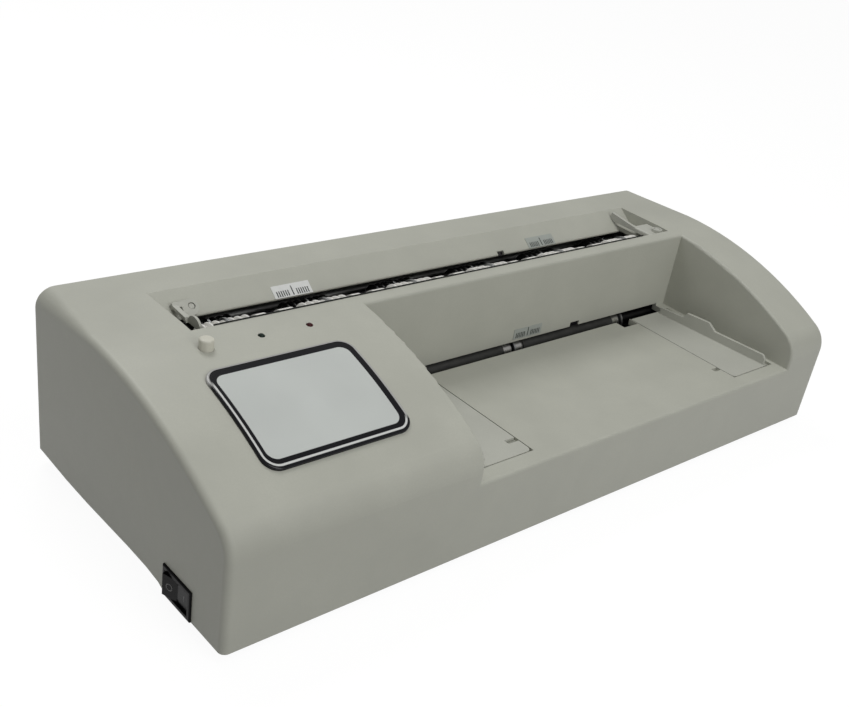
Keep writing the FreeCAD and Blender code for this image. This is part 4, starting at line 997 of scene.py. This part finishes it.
@dataclass
class CutterDeck:
    """The four cutter shafts with their knives, wheels, rollers and collars."""

    dust: Colour = (0.42, 0.42, 0.40)
    shaft_colour: Colour = (0.055, 0.055, 0.058)
    knife_colour: Colour = (0.42, 0.43, 0.44)
    nylon: Colour = (0.80, 0.79, 0.76)
    black_rubber: Colour = (0.006, 0.006, 0.0065)
    # The grey rubber is the rollers' rubber as lit. The next colour is painted shade: a darker copy of
    # it for the bottom rollers, which lie in shade.
    grey_rubber: Colour = (0.16, 0.16, 0.14)
    shaded_roller_rubber: Colour = (0.02, 0.02, 0.018)
    collar_colour: Colour = (0.66, 0.65, 0.63)

    def dress(self) -> None:
        """Gives the shafts and what they carry their finishes."""
        dress(
            BareMetal("shaft_black_oxide", self.shaft_colour, 0.38, Lay.ROUND_X, 0.4),
            "lower_bottom_shaft",
            "lower_top_shaft",
            "upper_front_shaft",
            "upper_rear_shaft",
        )
        dress(
            BareMetal("knife_ground", self.knife_colour, 0.28, Lay.NONE, 0.2, 0.15 * MM),
            "lower_bottom_knives",
            "lower_top_knives",
            "upper_front_knives",
            "upper_rear_knives",
        )
        dress(
            MouldedPlastic("wheel_nylon", self.nylon, 0.36, grain_depth=0.006 * MM, mottle=0.03),
            "upper_front_wheels",
            "upper_front_collars",
        )
        dress(
            Rubber("wheel_black_rubber", self.black_rubber, self.dust, 0.02, 0.5 * MM, 0.01 * MM, 0.32),
            "upper_rear_wheels",
        )
        dress(
            Rubber("roller_grey_rubber", self.grey_rubber, self.dust, 0.12, 0.9 * MM, 0.08 * MM, 0.5),
            "lower_top_rollers",
        )
        # Painted shade: the bottom rollers get the darker copy of the roller rubber.
        dress(
            Rubber("roller_painted_shade_rubber", self.shaded_roller_rubber, self.dust, 0.05, 0.7 * MM, 0.05 * MM, 0.5),
            "lower_bottom_rollers",
        )
        collar = BareMetal("collar_bright", self.collar_colour, 0.24, Lay.ROUND_X, 0.1)
        dress(collar, "lower_bottom_collars")


@dataclass
class Drive:
    """Gears, gearbox, motor and bushes."""

    steel: Colour = (0.40, 0.40, 0.40)
    nylon: Colour = (0.62, 0.61, 0.55)
    zinc: Colour = (0.46, 0.47, 0.48)
    paint: Colour = (0.05, 0.05, 0.052)
    bronze: Colour = (0.42, 0.27, 0.12)

    def dress(self) -> None:
        """Gives the drive its finishes."""
        dress(
            BareMetal("gear_cut_steel", self.steel, 0.34, Lay.ALONG_X),
            "lower_bottom_gear",
            "lower_top_gear",
            "upper_front_gear",
            "upper_rear_gear",
            "motor_pinion",
        )
        dress(
            MouldedPlastic("gear_nylon", self.nylon, 0.42, grain_depth=0.006 * MM),
            "transfer_large_gear",
            "transfer_small_gear",
            "drive_gear",
        )
        dress(BareMetal("gearbox_zinc", self.zinc, 0.4, Lay.ROUND_X), "gearbox")
        dress(PaintedMetal("motor_black", self.paint, 0.38), "motor_can")
        dress(BareMetal("bush_bronze", self.bronze, 0.42, Lay.ROUND_X, 0.35), "shaft_bushes")


@dataclass
class Chassis:
    """Base, feet, side plates, rods, chutes and screws."""

    plate_colour: Colour = (0.46, 0.47, 0.48)
    chute_colour: Colour = (0.50, 0.51, 0.52)
    foot_colour: Colour = (0.012, 0.012, 0.012)
    foot_dust: Colour = (0.25, 0.24, 0.22)
    screw_colour: Colour = (0.52, 0.53, 0.53)
    rod_colour: Colour = (0.50, 0.50, 0.50)

    def dress(self) -> None:
        """Gives the chassis its finishes."""
        plated = ZincSheet("base_plated", self.plate_colour)
        dress(plated, "base_plate", "left_side_plate", "right_side_plate")
        dress(ZincSheet("chute_galvanised", self.chute_colour, 4 * MM), "strip_chute", "card_chute")
        dress(Rubber("foot_rubber", self.foot_colour, self.foot_dust, 0.15), "rubber_feet")
        dress(
            BareMetal("screw_plated", self.screw_colour, 0.3, Lay.NONE),
            "base_screws",
            "frame_screws",
            "panel_board_screws",
        )
        dress(BareMetal("rod_drawn", self.rod_colour, 0.28, Lay.ALONG_X), "tie_rods")


@dataclass
class Electrics:
    """Transformer, boards, sensors and the mains inlet."""

    core_colour: Colour = (0.10, 0.10, 0.10)
    tape_colour: Colour = (0.50, 0.33, 0.05)
    copper_colour: Colour = (0.40, 0.16, 0.06)
    mask_colour: Colour = (0.008, 0.06, 0.02)
    case_colours: tuple[Colour, Colour, Colour] = (
        (0.015, 0.015, 0.016),
        (0.02, 0.06, 0.22),
        (0.03, 0.16, 0.05),
    )
    standoff_colour: Colour = (0.70, 0.69, 0.62)
    sensor_colour: Colour = (0.008, 0.006, 0.010)
    inlet_colour: Colour = (0.014, 0.014, 0.014)
    brass: Colour = (0.66, 0.50, 0.22)

    def dress(self) -> None:
        """Gives the electrics their finishes."""
        dress(Laminations("core_sheets", self.core_colour), "transformer_core")
        dress(Winding("coil_taped", self.tape_colour, self.copper_colour), "transformer_coil")
        dress(CircuitBoard("board_green", self.mask_colour), "control_board", "panel_board")
        dress(ComponentMix("component_cases", *self.case_colours), "board_components")
        dress(MouldedPlastic("standoff_nylon", self.standoff_colour, 0.4), "board_standoffs")
        dress(GlossPlastic("sensor_window", self.sensor_colour, 0.12), "paper_sensors")
        dress(MouldedPlastic("inlet_black", self.inlet_colour, 0.45, rubbed=0.02), "power_inlet")
        dress(BareMetal("pin_brass", self.brass, 0.24, Lay.NONE, 0.15), "power_inlet_pins")


@dataclass
class Studio:
    """Floor, lamps, world and camera."""

    eye: Vector = field(default_factory=lambda: Vector((-0.38229, -0.34942, 0.31038)))
    azimuth: float = math.radians(46.350)
    elevation: float = math.radians(30.090)
    roll: float = math.radians(10.238)
    lens: float = 47.707
    shift_x: float = -0.02936
    shift_y: float = 0.07647
    sensor_width: float = 36.0
    clip_start: float = 0.01
    tint: Colour = (1.0, 1.0, 0.985)
    sky: float = 0.345
    floor_half: float = 6.0
    floor_bounce: Colour = (0.35, 0.35, 0.35)
    floor_glow: float = 1.04
    glow_share: float = 0.9
    lamp_size: float = 0.45
    lamps: tuple[tuple[str, Vector, float], ...] = (
        ("lamp_front", Vector((0.0, -0.55, 1.0)), 2.32),
        ("lamp_low", Vector((0.0, -1.1, 0.55)), 3.06),
        ("lamp_rear", Vector((0.0, 0.6, 1.0)), 4.27),
    )

    def build(self) -> None:
        """Builds the whole studio."""
        self._floor()
        self._world()
        self._lamps()
        self._camera()
        bpy.context.scene.view_settings.view_transform = "Standard"

    def _floor(self) -> None:
        """A plain white floor that keeps a light shadow."""
        mesh = bmesh.new()
        bmesh.ops.create_grid(mesh, x_segments=1, y_segments=1, size=self.floor_half)
        data = bpy.data.meshes.new("floor")
        mesh.to_mesh(data)
        mesh.free()
        floor = bpy.data.objects.new("floor", data)
        bpy.context.scene.collection.objects.link(floor)
        s = Surface("floor_white")
        camera_ray = s.node("LightPath", output="Is Camera Ray")
        paper = s.mix(camera_ray, self.floor_bounce, WHITE)
        s.set(Base_Color=paper, Roughness=0.9, Specular_IOR_Level=0.1)
        seen = camera_ray.high(s.node("LightPath", output="Is Glossy Ray"))
        seen = seen.high(s.node("LightPath", output="Is Transmission Ray"))
        matt = Wire(s.tree, s.shader.outputs[0])
        glow = s.node("Emission", None, {"Color": WHITE, "Strength": self.floor_glow})
        blend = s.node("MixShader", None, {0: seen * self.glow_share, 1: matt, 2: glow})
        plug(s.tree, s.out.inputs["Surface"], blend)
        floor.data.materials.append(s.material)

    def _world(self) -> None:
        """A soft even sky, seen white by the camera."""
        world = bpy.data.worlds.new("studio")
        bpy.context.scene.world = world
        world.use_nodes = True
        graph = Graph(world.node_tree)
        out = graph.tree.nodes.new("ShaderNodeOutputWorld")
        camera_ray = graph.node("LightPath", output="Is Camera Ray")
        soft = graph.node("Background", None, {"Color": self.tint, "Strength": self.sky})
        white = graph.node("Background", None, {"Color": WHITE})
        blend = graph.node("MixShader", None, {0: camera_ray, 1: soft, 2: white})
        plug(graph.tree, out.inputs["Surface"], blend)

    def _lamps(self) -> None:
        """Square soft boxes over the front, low in front and over the rear."""
        for name, place, power in self.lamps:
            data = bpy.data.lights.new(name, "AREA")
            data.size = self.lamp_size
            data.energy = power
            data.color = self.tint
            lamp = bpy.data.objects.new(name, data)
            lamp.location = place
            lamp.rotation_euler = (-place).to_track_quat("-Z", "Y").to_euler()
            bpy.context.scene.collection.objects.link(lamp)

    def _camera(self) -> None:
        """The camera, low over the left front corner and rolled a little."""
        data = bpy.data.cameras.new("camera")
        data.lens = self.lens
        data.sensor_width = self.sensor_width
        data.sensor_fit = "HORIZONTAL"
        data.shift_x = self.shift_x
        data.shift_y = self.shift_y
        data.clip_start = self.clip_start
        camera = bpy.data.objects.new("camera", data)
        turn = (
            Matrix.Rotation(-self.azimuth, 4, "Z")
            @ Matrix.Rotation(math.pi / 2 - self.elevation, 4, "X")
            @ Matrix.Rotation(self.roll, 4, "Z")
        )
        camera.matrix_world = Matrix.Translation(self.eye) @ turn
        bpy.context.scene.collection.objects.link(camera)
        bpy.context.scene.camera = camera


def main() -> None:
    """Builds every sub-assembly in order."""
    logging.basicConfig(level=logging.INFO, format="%(name)s: %(message)s")
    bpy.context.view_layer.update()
    for assembly in (Shell(), Switch(), Guides(), CutterDeck(), Drive(), Chassis(), Electrics()):
        assembly.dress()
    Studio().build()


if __name__ == "__main__":
    main()
